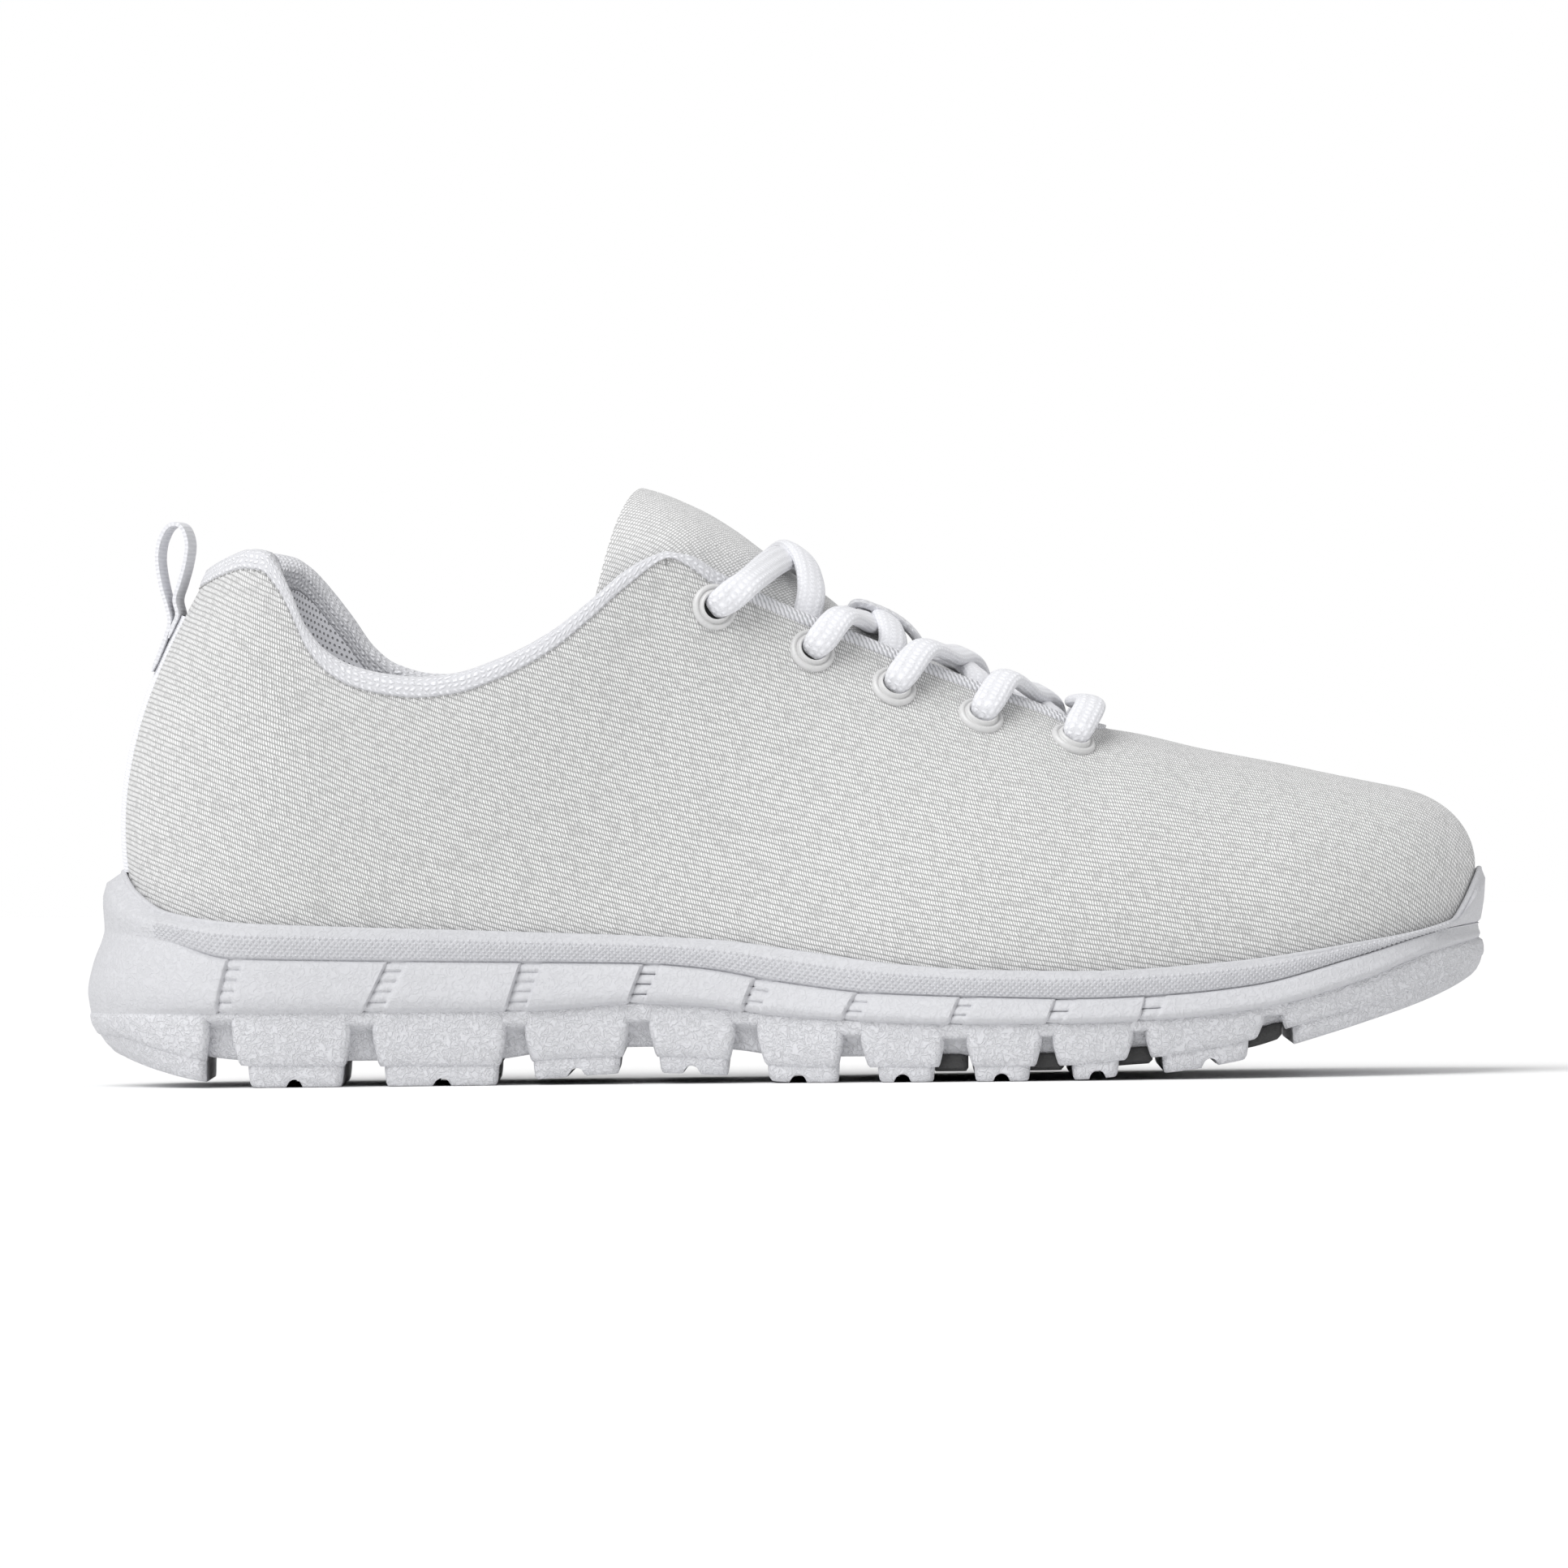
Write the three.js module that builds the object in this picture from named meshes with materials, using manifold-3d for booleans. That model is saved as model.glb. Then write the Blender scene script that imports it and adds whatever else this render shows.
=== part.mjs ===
// Running shoe for the right foot, standing empty on its sole.
// Millimetres. +X points to the toe, +Y to the inner side of the foot, +Z up.
// Every curve along the shoe is charted at the pattern size and scaled by the overall sizes.
import * as THREE from 'three';
import { mergeVertices } from 'three/addons/utils/BufferGeometryUtils.js';
import Module from 'manifold-3d';

const wasm = await Module();
wasm.setup();

// Overall sizes
const LENGTH = 295;
const BALL_WIDTH = 106;
const TONGUE_TOP = 125.5;

// Sizes that do not follow the overall size
const CLEARANCE = 0.3;
const LIP_SIDE = 2.2;
const LIP_END = 1.2;
const RECESS = 5.2;
const FEATHER_INSET = 5.6;
const UPPER_HEEL_INSET = 8.7;
const UPPER_TOE_INSET = 2.2;
const WALL = 2.2;
const COLLAR_PADDING = 9;
const INSOLE_THICKNESS = 4;
const TONGUE_THICKNESS = 4;
const TREAD_WEB = 2.4;
const LACE_WIDTH = 5.4;
const LACE_THICKNESS = 2.6;
const EYELET_OUTER = 9.6;
const EYELET_BORE = 5;
const EYELET_HEIGHT = 1.5;
const EYELET_INSET = 9;
const EYELET_SEAT = 0.75;
const EYELET_SIDES = 10;
const KEEPER_WIDTH = 11;
const KEEPER_THICKNESS = 1.3;
const WEBBING_WIDTH = 10;
const WEBBING_THICKNESS = 1.2;
const LOOP_SLEW = 0.25;

// The pattern size that the charts below are drawn at
const PATTERN = { length: 295, width: 106, height: 125.5 };
const ALONG = LENGTH / PATTERN.length;
const ACROSS = BALL_WIDTH / PATTERN.width;
const UPWARD = TONGUE_TOP / PATTERN.height;
const HEEL_END = -LENGTH / 2;
const TOE_END = LENGTH / 2;

// A smooth curve through [position, value] pairs that never overshoots them.
function chart(points) {
  const last = points.length - 1;
  const slopes = [];
  for (let k = 0; k < last; k += 1) {
    slopes.push((points[k + 1][1] - points[k][1]) / (points[k + 1][0] - points[k][0]));
  }
  const tangents = points.map((_, k) => {
    if (k === 0) return slopes[0];
    if (k === last) return slopes[last - 1];
    if (slopes[k - 1] * slopes[k] <= 0) return 0;
    return 2 / (1 / slopes[k - 1] + 1 / slopes[k]);
  });
  return (position) => {
    if (position <= points[0][0]) return points[0][1];
    if (position >= points[last][0]) return points[last][1];
    let k = 0;
    while (position > points[k + 1][0]) k += 1;
    const width = points[k + 1][0] - points[k][0];
    const t = (position - points[k][0]) / width;
    const rise = t * t * (3 - 2 * t);
    return points[k][1] * (1 - rise) + points[k + 1][1] * rise
      + width * t * (1 - t) * (tangents[k] * (1 - t) - tangents[k + 1] * t);
  };
}

function chartAlong(points, scale) {
  const curve = chart(points);
  return (x) => scale * curve(x / ALONG);
}

const lerp = THREE.MathUtils.lerp;
const smooth = (value, low, high) => THREE.MathUtils.smoothstep(value, low, high);

// Rises from 0 to 1 as a rounded end over the distance radius.
function roundEnd(distance, radius, power) {
  const u = Math.min(1, Math.max(0, distance / radius));
  return Math.sqrt(1 - (1 - u) ** power);
}

// ---- Curves along the shoe -------------------------------------------------------------

const SPINE = chartAlong([[-147, 0], [-50, -1.5], [20, 0], [67, 1.5], [105, 4], [147, 9]], ACROSS);
const OUTER_HALF = chartAlong([
  [-147, 37], [-110, 37.3], [-50, 36.5], [-20, 39], [0, 43.5], [20, 49], [42, 52.6],
  [60, 53.1], [80, 51.4], [100, 48.6], [120, 46.6], [147, 45],
], ACROSS);
const INNER_HALF = chartAlong([
  [-147, 37], [-110, 37], [-80, 36.8], [-50, 35.4], [-20, 35.6], [0, 39], [20, 44.4],
  [42, 50], [60, 52.3], [80, 51.2], [100, 48.2], [120, 45], [147, 42],
], ACROSS);
const LIP = chartAlong([
  [-140, 47.6], [-136, 41.5], [-129, 36.9], [-114.6, 34.5], [-97.5, 33.6], [-63.4, 32.3],
  [-15.5, 30], [5, 27.2], [22, 24.7], [39, 23.3], [63, 22.8], [90.5, 24.3], [116, 27.7],
  [138.5, 32.4], [140.6, 34.9], [145.3, 43.4],
], UPWARD);
const BAND = chartAlong([
  [-147, 33], [-131.5, 30.7], [-117.4, 27], [-99, 26.4], [-43, 25.3], [-30, 25], [-18, 23.9],
  [-3, 21.1], [16, 18.6], [35, 17.7], [62, 17], [78, 17.5], [97, 19.3], [120, 25.1],
  [139, 30.4], [147, 31.5],
], UPWARD);
const TREAD_LINE = chartAlong([
  [-147, 15.4], [-56, 15.2], [-31.5, 16.5], [-18.5, 15.9], [-7, 14.3], [8, 13], [33, 11.8],
  [56, 11.7], [74, 12.1], [97, 14.2], [120, 20], [133, 25], [147, 28.4],
], UPWARD);
const GROUND = chartAlong([
  [-140, 6.4], [-132, 3.7], [-124, 1.7], [-116, 0.5], [-108, 0], [-62, 0], [-50, 1.4],
  [-30, 2.3], [-12, 1.6], [-1, 0.2], [6, 0], [54, 0], [62, 0.3], [70, 0.9], [78, 1.4],
  [96, 4.2], [105.7, 7.1], [119.4, 11.1], [133, 15.5], [140, 18.4], [147, 22],
], UPWARD);
const FOOTBED = chartAlong([
  [-140, 37], [-129, 35.7], [-97.5, 33.6], [-63.4, 32.3], [-15.5, 30], [5, 27.2], [22, 24.7],
  [39, 23.3], [63, 22.8], [90.5, 24.3], [116, 27.7], [140, 32.6], [146, 34],
], UPWARD);
const OUTER_TOPLINE = chartAlong([
  [-121.5, 107.2], [-116.5, 109.7], [-112, 111], [-108.6, 110.5], [-105.6, 107.2],
  [-102.8, 102], [-99.5, 94.4], [-95.3, 89.3], [-90.2, 86.3], [-83.3, 84.5],
  [-76.5, 83.8], [-69.6, 84.4], [-59.4, 87.7],
  [-49, 93.1], [-40.4, 99.8], [-33.5, 105.6], [-28.3, 108.5], [-24, 109.6], [-19.7, 109.2],
  [-13.4, 105.6], [-6.2, 102], [7.4, 96], [16.3, 92.5], [25.3, 88.6], [33.8, 85.2],
  [42.7, 81.7], [52.5, 78.2], [59.4, 75.2], [67.4, 73.2],
], UPWARD);
const INNER_TOPLINE = chartAlong([
  [-121.5, 107.2], [-116, 109.5], [-110, 110.8], [-104.5, 109.9], [-100.5, 107.6],
  [-96.8, 104], [-91.8, 97.6], [-86.6, 90.2],
  [-82.5, 87], [-75, 84.9], [-66, 84.6], [-57, 87.1], [-48, 91.6], [-40, 97.6],
  [-33, 103.8], [-27, 107.6], [-22, 108.4], [-17, 107.2], [-13.4, 105.4], [-6.2, 102],
  [7.4, 96], [16.3, 92.5], [25.3, 88.6], [33.8, 85.2], [42.7, 81.7], [52.5, 78.2],
  [59.4, 75.2], [67.4, 73.2],
], UPWARD);
const VAMP_RIDGE = chartAlong([
  [67.4, 73.2], [73.9, 72.1], [87.5, 68.8], [104.6, 65.4], [116.6, 62.8], [128.4, 60.4], [146, 57.5],
], UPWARD);
const HALF_OPENING = chartAlong([
  [-121.5, 31], [-100, 30.5], [-80, 31.5], [-60, 33], [-40, 34], [-24, 32.5], [-13, 28],
  [5, 22], [23, 18.5], [41, 16], [56, 14], [67.4, 12],
], ACROSS);
const TOPLINE_LEAN = chartAlong([
  [-121.5, 62], [-112, 70], [-95, 80], [-75, 84], [-50, 80], [-35, 73], [-24, 66], [-13, 58],
  [5, 51], [23, 44], [41, 37], [56, 27], [67.4, 22],
], Math.PI / 180);
const FLARE = chartAlong([
  [-140, 3.6], [-110, 3], [-70, 0.5], [-40, -1], [0, 0.5], [40, 2.5], [90, 2], [125, 1.2], [146, 0.6],
], 1);
const PADDING = chartAlong([
  [-121.5, COLLAR_PADDING - WALL], [-104, 0.6 * COLLAR_PADDING - WALL + 1.4],
  [-60, 0.35 * COLLAR_PADDING - WALL + 1.9], [-30, 2], [-15, 0.7], [0, 0],
], 1);
const TONGUE_CREST = chartAlong([
  [-45, 127.5], [-28.7, 124.6], [-17.6, 120.2], [-10.3, 115.8], [-5, 111.8], [2, 106.4],
  [9, 101.6], [14, 97.4], [20, 92.8], [30, 88.4], [38, 84.4], [48, 79.8], [57, 74], [63, 69.8],
  [67, 67.4], [76, 64],
], UPWARD);

const THROAT_BASE = 67.4 * ALONG;
const THROAT_ROUND = 12;
const TOE_RISE = 20;
const STEEPEST = 0.6;
const TOPLINE_BACK = -121.5 * ALONG;
const UPPER_HEEL = HEEL_END + UPPER_HEEL_INSET;
const UPPER_TOE = TOE_END - UPPER_TOE_INSET;
const EYELET_ROWS = [-14.6, 5.7, 22.7, 40.8, 60.1].map((x) => x * ALONG);
const TREAD_GROOVES = [-119.2, -88.4, -56.8, -32, -9.2, 12.5, 34.7, 54.1, 73.2, 101.1]
  .map((x) => x * ALONG);

// ---- Stations: fractions of the length, closer together at the round ends -----------------

const HEEL_ROUND = 0.14;
const THROAT_START = 0.69;
const TOE_ROUND = 0.16;
const THROAT_FRACTION = (THROAT_BASE - UPPER_HEEL) / (UPPER_TOE - UPPER_HEEL);

function stations() {
  const list = [];
  const heelSteps = 7;
  for (let k = 0; k < heelSteps; k += 1) {
    list.push(HEEL_ROUND * (1 - Math.cos((Math.PI / 2) * (k / heelSteps))));
  }
  const middleSteps = 13;
  for (let k = 0; k < middleSteps; k += 1) {
    list.push(lerp(HEEL_ROUND, THROAT_START, k / middleSteps));
  }
  const throatSteps = 4;
  for (let k = 0; k < throatSteps; k += 1) {
    const swing = Math.sin((Math.PI / 2) * (k / throatSteps));
    list.push(lerp(THROAT_START, THROAT_FRACTION, swing));
  }
  const vampSteps = 4;
  for (let k = 0; k < vampSteps; k += 1) {
    list.push(lerp(THROAT_FRACTION, 1 - TOE_ROUND, k / vampSteps));
  }
  const toeSteps = 8;
  for (let k = 0; k <= toeSteps; k += 1) {
    list.push(1 - TOE_ROUND * (1 - Math.cos((Math.PI / 2) * (1 - k / toeSteps))));
  }
  return list;
}

const STATIONS = stations();
const LAST = STATIONS.length - 1;
const COLUMNS = 2 * LAST;
const THROAT_STATION = STATIONS.findIndex((f) => Math.abs(f - THROAT_FRACTION) < 1e-9);

// A ring runs along the outer side from heel to toe and back along the inner side.
const columnStation = (column) => (column <= LAST ? column : COLUMNS - column);
const columnSide = (column) => (column <= LAST ? -1 : 1);

function planPoint(fraction, side, heelEnd, toeEnd, inset) {
  const soleX = lerp(HEEL_END, TOE_END, fraction);
  const ends = roundEnd((soleX - HEEL_END) / ALONG, 42, 2.2)
    * roundEnd((TOE_END - soleX) / ALONG, 58, 2.6);
  const half = (side < 0 ? OUTER_HALF(soleX) : INNER_HALF(soleX)) - inset;
  const spine = SPINE(soleX);
  return new THREE.Vector2(lerp(heelEnd, toeEnd, fraction), spine + side * half * ends);
}

// A plan outline: a point and an outward direction for every column.
function outline(heelEnd, toeEnd, inset) {
  const points = [];
  for (let column = 0; column < COLUMNS; column += 1) {
    const fraction = STATIONS[columnStation(column)];
    points.push(planPoint(fraction, columnSide(column), heelEnd, toeEnd, inset));
  }
  return points.map((point, column) => {
    const before = points[(column + COLUMNS - 1) % COLUMNS];
    const after = points[(column + 1) % COLUMNS];
    const along = after.clone().sub(before).normalize();
    return { x: point.x, y: point.y, nx: along.y, ny: -along.x };
  });
}

const SOLE_PLAN = outline(HEEL_END, TOE_END, 0);
const UPPER_PLAN = outline(UPPER_HEEL, UPPER_TOE, FEATHER_INSET);

// Weighs a side value, a heel value and a toe value by the way the outline faces.
function facing(column, values) {
  const [side, heel, toe] = values;
  const { nx } = SOLE_PLAN[column];
  const weight = nx * nx;
  return side + ((nx < 0 ? heel : toe) - side) * weight;
}

// ---- Solids from rings and grids --------------------------------------------------------

function ring(plan, outset, height) {
  return plan.map((p, column) => {
    const out = outset(column);
    const x = p.x + p.nx * out;
    const y = p.y + p.ny * out;
    return new THREE.Vector3(x, y, height(x, column));
  });
}

function shrunkRing(source, share, height) {
  return source.map((p) => {
    return new THREE.Vector3(p.x, lerp(SPINE(p.x), p.y, share), height(p.x));
  });
}

function geometryOf(points, faces) {
  const geometry = new THREE.BufferGeometry();
  const positions = points.flatMap((p) => [p.x, p.y, p.z]);
  geometry.setAttribute('position', new THREE.Float32BufferAttribute(positions, 3));
  geometry.setIndex(faces);
  const merged = mergeVertices(geometry, 1e-3);
  const index = Array.from(merged.index.array);
  const kept = [];
  for (let k = 0; k < index.length; k += 3) {
    const [a, b, c] = index.slice(k, k + 3);
    if (a !== b && b !== c && c !== a) kept.push(a, b, c);
  }
  merged.setIndex(kept);
  return merged;
}

function quad(faces, a, b, c, d) {
  faces.push(a, b, c, a, c, d);
}

// Closes a stack of rings: the first is capped downwards and the last upwards.
function ringSolid(rings) {
  const points = rings.flat();
  const faces = [];
  for (let k = 0; k < rings.length - 1; k += 1) {
    for (let column = 0; column < COLUMNS; column += 1) {
      const next = (column + 1) % COLUMNS;
      quad(faces, k * COLUMNS + column, k * COLUMNS + next,
        (k + 1) * COLUMNS + next, (k + 1) * COLUMNS + column);
    }
  }
  const top = (rings.length - 1) * COLUMNS;
  for (let station = 0; station < LAST; station += 1) {
    const inner = (COLUMNS - station) % COLUMNS;
    const innerNext = COLUMNS - station - 1;
    quad(faces, station, inner, innerNext, station + 1);
    quad(faces, top + station, top + station + 1, top + innerNext, top + inner);
  }
  return geometryOf(points, faces);
}

// Unit normals of a grid of points, columns by rows, from the differences between neighbours.
function gridNormals(grid) {
  const rows = grid[0].length;
  return grid.map((column, i) => column.map((_, j) => {
    const alongA = grid[Math.max(i - 1, 0)][j];
    const alongB = grid[Math.min(i + 1, grid.length - 1)][j];
    const acrossA = column[Math.max(j - 1, 0)];
    const acrossB = column[Math.min(j + 1, rows - 1)];
    const along = alongB.clone().sub(alongA);
    return along.cross(acrossB.clone().sub(acrossA)).normalize();
  }));
}

// A plate with the given face and thickness, its thickness going against the normals.
function plate(face, thickness) {
  const columns = face.length;
  const rows = face[0].length;
  const normals = gridNormals(face);
  const back = face.map((column, i) => column.map((p, j) => (
    p.clone().addScaledVector(normals[i][j], -thickness(i / (columns - 1), j / (rows - 1)))
  )));
  const points = [...face.flat(), ...back.flat()];
  const at = (i, j) => i * rows + j;
  const under = columns * rows;
  const faces = [];
  for (let i = 0; i < columns - 1; i += 1) {
    for (let j = 0; j < rows - 1; j += 1) {
      quad(faces, at(i, j), at(i + 1, j), at(i + 1, j + 1), at(i, j + 1));
      quad(faces, under + at(i, j), under + at(i, j + 1), under + at(i + 1, j + 1), under + at(i + 1, j));
    }
    quad(faces, at(i, 0), under + at(i, 0), under + at(i + 1, 0), at(i + 1, 0));
    quad(faces, at(i, rows - 1), at(i + 1, rows - 1), under + at(i + 1, rows - 1), under + at(i, rows - 1));
  }
  for (let j = 0; j < rows - 1; j += 1) {
    quad(faces, at(0, j), at(0, j + 1), under + at(0, j + 1), under + at(0, j));
    quad(faces, at(columns - 1, j), under + at(columns - 1, j),
      under + at(columns - 1, j + 1), at(columns - 1, j + 1));
  }
  return geometryOf(points, faces);
}

function toManifold(geometry) {
  const bare = geometry.clone();
  bare.deleteAttribute('normal');
  bare.deleteAttribute('uv');
  const merged = mergeVertices(bare, 1e-3);
  return new wasm.Manifold(new wasm.Mesh({
    numProp: 3,
    vertProperties: new Float32Array(merged.attributes.position.array),
    triVerts: new Uint32Array(merged.index.array),
  }));
}

function fromManifold(solid) {
  const mesh = solid.getMesh();
  const geometry = new THREE.BufferGeometry();
  geometry.setAttribute('position', new THREE.BufferAttribute(mesh.vertProperties, 3));
  geometry.setIndex(new THREE.BufferAttribute(mesh.triVerts, 1));
  return geometry;
}

// ---- Sole ---------------------------------------------------------------------------------

const lipWidth = (column) => facing(column, [LIP_SIDE, LIP_END, LIP_END]);
const lipHeight = (column) => LIP(UPPER_PLAN[column].x);
const bandHeight = (column) => BAND(SOLE_PLAN[column].x);
const footbedHeight = (x) => FOOTBED(x) - RECESS;

function midsole() {
  const halfGap = CLEARANCE / 2;
  const inset = (side, heel, toe) => (column) => -facing(column, [side, heel, toe]);
  const aboveTread = (rise) => (x) => TREAD_LINE(x) + rise;
  const bottom = ring(SOLE_PLAN, inset(1.3, 0.6, 1.6), aboveTread(halfGap));
  const rings = [
    shrunkRing(bottom, 0.5, aboveTread(halfGap)),
    bottom,
    ring(SOLE_PLAN, inset(0, 0, 1.2), aboveTread(2.2)),
    ring(SOLE_PLAN, inset(1.8, 3.2, 1.6), (x, column) => bandHeight(column) - 1.2),
    ring(SOLE_PLAN, inset(2.7, 3.6, 1.2), (x, column) => bandHeight(column) + 0.3),
    ring(SOLE_PLAN, inset(2.4, 3.3, 0.2), (x, column) => lerp(bandHeight(column), lipHeight(column), 0.5)),
    ring(SOLE_PLAN, inset(2.8, 4.4, 0), (x, column) => lerp(bandHeight(column), lipHeight(column), 0.78)),
    ring(UPPER_PLAN, (column) => CLEARANCE + lipWidth(column), (x, column) => lipHeight(column) - 0.6),
    ring(UPPER_PLAN, (column) => CLEARANCE + 0.5 * lipWidth(column), (x, column) => lipHeight(column)),
    ring(UPPER_PLAN, () => CLEARANCE, (x, column) => lipHeight(column) - 0.4),
    ring(UPPER_PLAN, () => CLEARANCE, footbedHeight),
  ];
  const edge = rings[rings.length - 1];
  rings.push(shrunkRing(edge, 0.5, footbedHeight));
  return ringSolid(rings);
}

// A groove across the tread: narrow at its top, wide at the floor, and bent forward at its middle.
function grooveCutter(x) {
  const sweep = 2 * ALONG;
  const reach = BALL_WIDTH;
  const lines = [-reach, 0, reach].map((y) => {
    const shift = x + (y === 0 ? sweep : 0) - sweep * Math.abs(y) / reach;
    const top = TREAD_LINE(shift) - CLEARANCE / 2 - TREAD_WEB;
    return [[-1.1, top], [1.1, top], [2.6, -2], [-3, -2]].map(([dx, z]) => (
      new THREE.Vector3(shift + dx, y + SPINE(x), z)
    ));
  });
  const faces = [];
  for (let k = 0; k < 2; k += 1) {
    for (let corner = 0; corner < 4; corner += 1) {
      const next = (corner + 1) % 4;
      quad(faces, k * 4 + corner, k * 4 + next, k * 4 + 4 + next, k * 4 + 4 + corner);
    }
  }
  quad(faces, 3, 2, 1, 0);
  quad(faces, 8, 9, 10, 11);
  return geometryOf(lines.flat(), faces);
}

function outsole() {
  const inset = (side, heel, toe) => (column) => -facing(column, [side, heel, toe]);
  const depth = (x) => TREAD_LINE(x) - GROUND(x);
  const below = (side, heel, toe) => (x, column) => (
    TREAD_LINE(x) - facing(column, [side(x), heel * UPWARD, toe * UPWARD])
  );
  const top = (x) => TREAD_LINE(x) - CLEARANCE / 2;
  const rings = [
    ring(SOLE_PLAN, inset(4.5, 15, 8), (x) => GROUND(x)),
    ring(SOLE_PLAN, inset(2.6, 7.7, 4.6), below((x) => depth(x) - 1.6, 8.8, 7.7)),
    ring(SOLE_PLAN, inset(1.6, 2.6, 1.4), below((x) => 0.5 * depth(x), 5.3, 5.3)),
    ring(SOLE_PLAN, inset(1.3, 0.6, 0.8), below(() => 1.5, 1.3, 3)),
    ring(SOLE_PLAN, inset(1.3, 0.6, 1.6), top),
  ];
  const edge = rings[rings.length - 1];
  rings.push(shrunkRing(edge, 0.5, top));
  let solid = toManifold(ringSolid(rings));
  for (const x of TREAD_GROOVES) {
    solid = solid.subtract(toManifold(grooveCutter(x)));
  }
  return fromManifold(solid);
}

// ---- Upper ----------------------------------------------------------------------------------

const toplineHeight = (x, side) => (side < 0 ? OUTER_TOPLINE(x) : INNER_TOPLINE(x));
const TOPLINE_X = chart([
  [UPPER_HEEL, TOPLINE_BACK], [-128 * ALONG, -114 * ALONG], [-110 * ALONG, -101.5 * ALONG],
  [-90 * ALONG, -86.5 * ALONG], [-70 * ALONG, -69.5 * ALONG], [-60 * ALONG, -60 * ALONG],
]);

// The top edge of the upper over the feather point at footX: topline, throat edge or vamp ridge.
function topEdge(footX, side) {
  const x = footX < -60 * ALONG ? TOPLINE_X(footX) : footX;
  const spine = SPINE(x);
  if (x < THROAT_BASE) {
    const back = roundEnd((x - TOPLINE_BACK) / ALONG, 26, 2);
    const base = roundEnd((THROAT_BASE - x) / ALONG, THROAT_ROUND, 2);
    return new THREE.Vector3(x, spine + side * HALF_OPENING(x) * back * base, toplineHeight(x, side));
  }
  const tip = LIP(UPPER_TOE) + 0.5;
  const rise = roundEnd((UPPER_TOE - x) / ALONG, TOE_RISE, 2.9);
  return new THREE.Vector3(x, spine, lerp(tip, VAMP_RIDGE(x), rise));
}

// The outline's outward direction in plan at the top edge: rearward at the heel, then sideways.
function topFacing(footX, side) {
  const turn = roundEnd((footX - UPPER_HEEL) / ALONG, 46, 2);
  return new THREE.Vector3(-Math.sqrt(1 - turn * turn), side * turn, 0);
}

// One rib of the upper: the cubic form of an ellipse's arc that leaves the feather line upright
// and reaches the top edge at its lean. The flare pushes its lower handle outwards.
function rib(side, plan) {
  const foot = new THREE.Vector3(plan.x, plan.y, LIP(plan.x));
  const top = topEdge(plan.x, side);
  const height = top.z - foot.z;
  const throat = roundEnd((THROAT_BASE - top.x) / ALONG, THROAT_ROUND, 2);
  const lean = TOPLINE_LEAN(top.x) * throat;
  const out = topFacing(plan.x, side);
  const span = Math.hypot(top.x - foot.x, top.y - foot.y);
  const ratio = (span / height) * Math.tan(lean);
  const arcCosine = STEEPEST * Math.tanh(ratio / (1 + ratio * ratio) / STEEPEST);
  const arc = Math.acos(arcCosine);
  const wide = span / (1 - arcCosine);
  const tall = height / Math.sin(arc);
  const handle = (4 / 3) * Math.tan(arc / 4);
  const lower = foot.clone();
  lower.z += handle * tall;
  const flare = FLARE(plan.x) * Math.min(1, height / 20);
  lower.x += plan.nx * flare;
  lower.y += plan.ny * flare;
  const reach = handle * Math.hypot(wide * Math.sin(arc), tall * Math.cos(arc));
  const upper = top.clone().addScaledVector(out, reach * Math.cos(lean));
  upper.z -= reach * Math.sin(lean);
  return new THREE.CubicBezierCurve3(foot, lower, upper, top);
}

const RIB_STEPS = 8;
const PAD_START = 0.25;

// Outer surface of the upper, one column of points for each column of the outline.
function upperFace() {
  return UPPER_PLAN.map((plan, column) => {
    const station = columnStation(column);
    const points = [new THREE.Vector3(plan.x, plan.y, footbedHeight(plan.x) + CLEARANCE)];
    if (station === LAST) {
      const tip = new THREE.Vector3(plan.x, plan.y, LIP(plan.x) + 0.5);
      for (let k = 0; k <= RIB_STEPS; k += 1) points.push(tip.clone());
      return points;
    }
    const side = station === 0 ? -1 : columnSide(column);
    const curve = rib(side, plan);
    for (let k = 0; k <= RIB_STEPS; k += 1) points.push(curve.getPoint(k / RIB_STEPS));
    return points;
  });
}

function upperNormals(face) {
  const rows = face[0].length;
  const normals = face.map((points, column) => points.map((_, row) => {
    const before = face[(column + COLUMNS - 1) % COLUMNS][row];
    const after = face[(column + 1) % COLUMNS][row];
    const below = points[Math.max(row - 1, 0)];
    const above = points[Math.min(row + 1, rows - 1)];
    const normal = after.clone().sub(before).cross(above.clone().sub(below));
    if (row <= 1 || columnStation(column) === LAST) {
      return new THREE.Vector3(UPPER_PLAN[column].nx, UPPER_PLAN[column].ny, 0);
    }
    return normal.normalize();
  }));
  for (let station = THROAT_STATION; station < LAST; station += 1) {
    const outer = normals[station][rows - 1];
    const inner = normals[COLUMNS - station][rows - 1];
    const shared = outer.clone().add(inner).normalize();
    outer.copy(shared);
    inner.copy(shared);
  }
  return normals;
}

function wallThickness(footX, row) {
  const t = Math.max(0, (row - 1) / RIB_STEPS);
  const topX = footX < -60 * ALONG ? TOPLINE_X(footX) : footX;
  return WALL + PADDING(topX) * smooth(t, PAD_START, 0.9);
}

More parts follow.
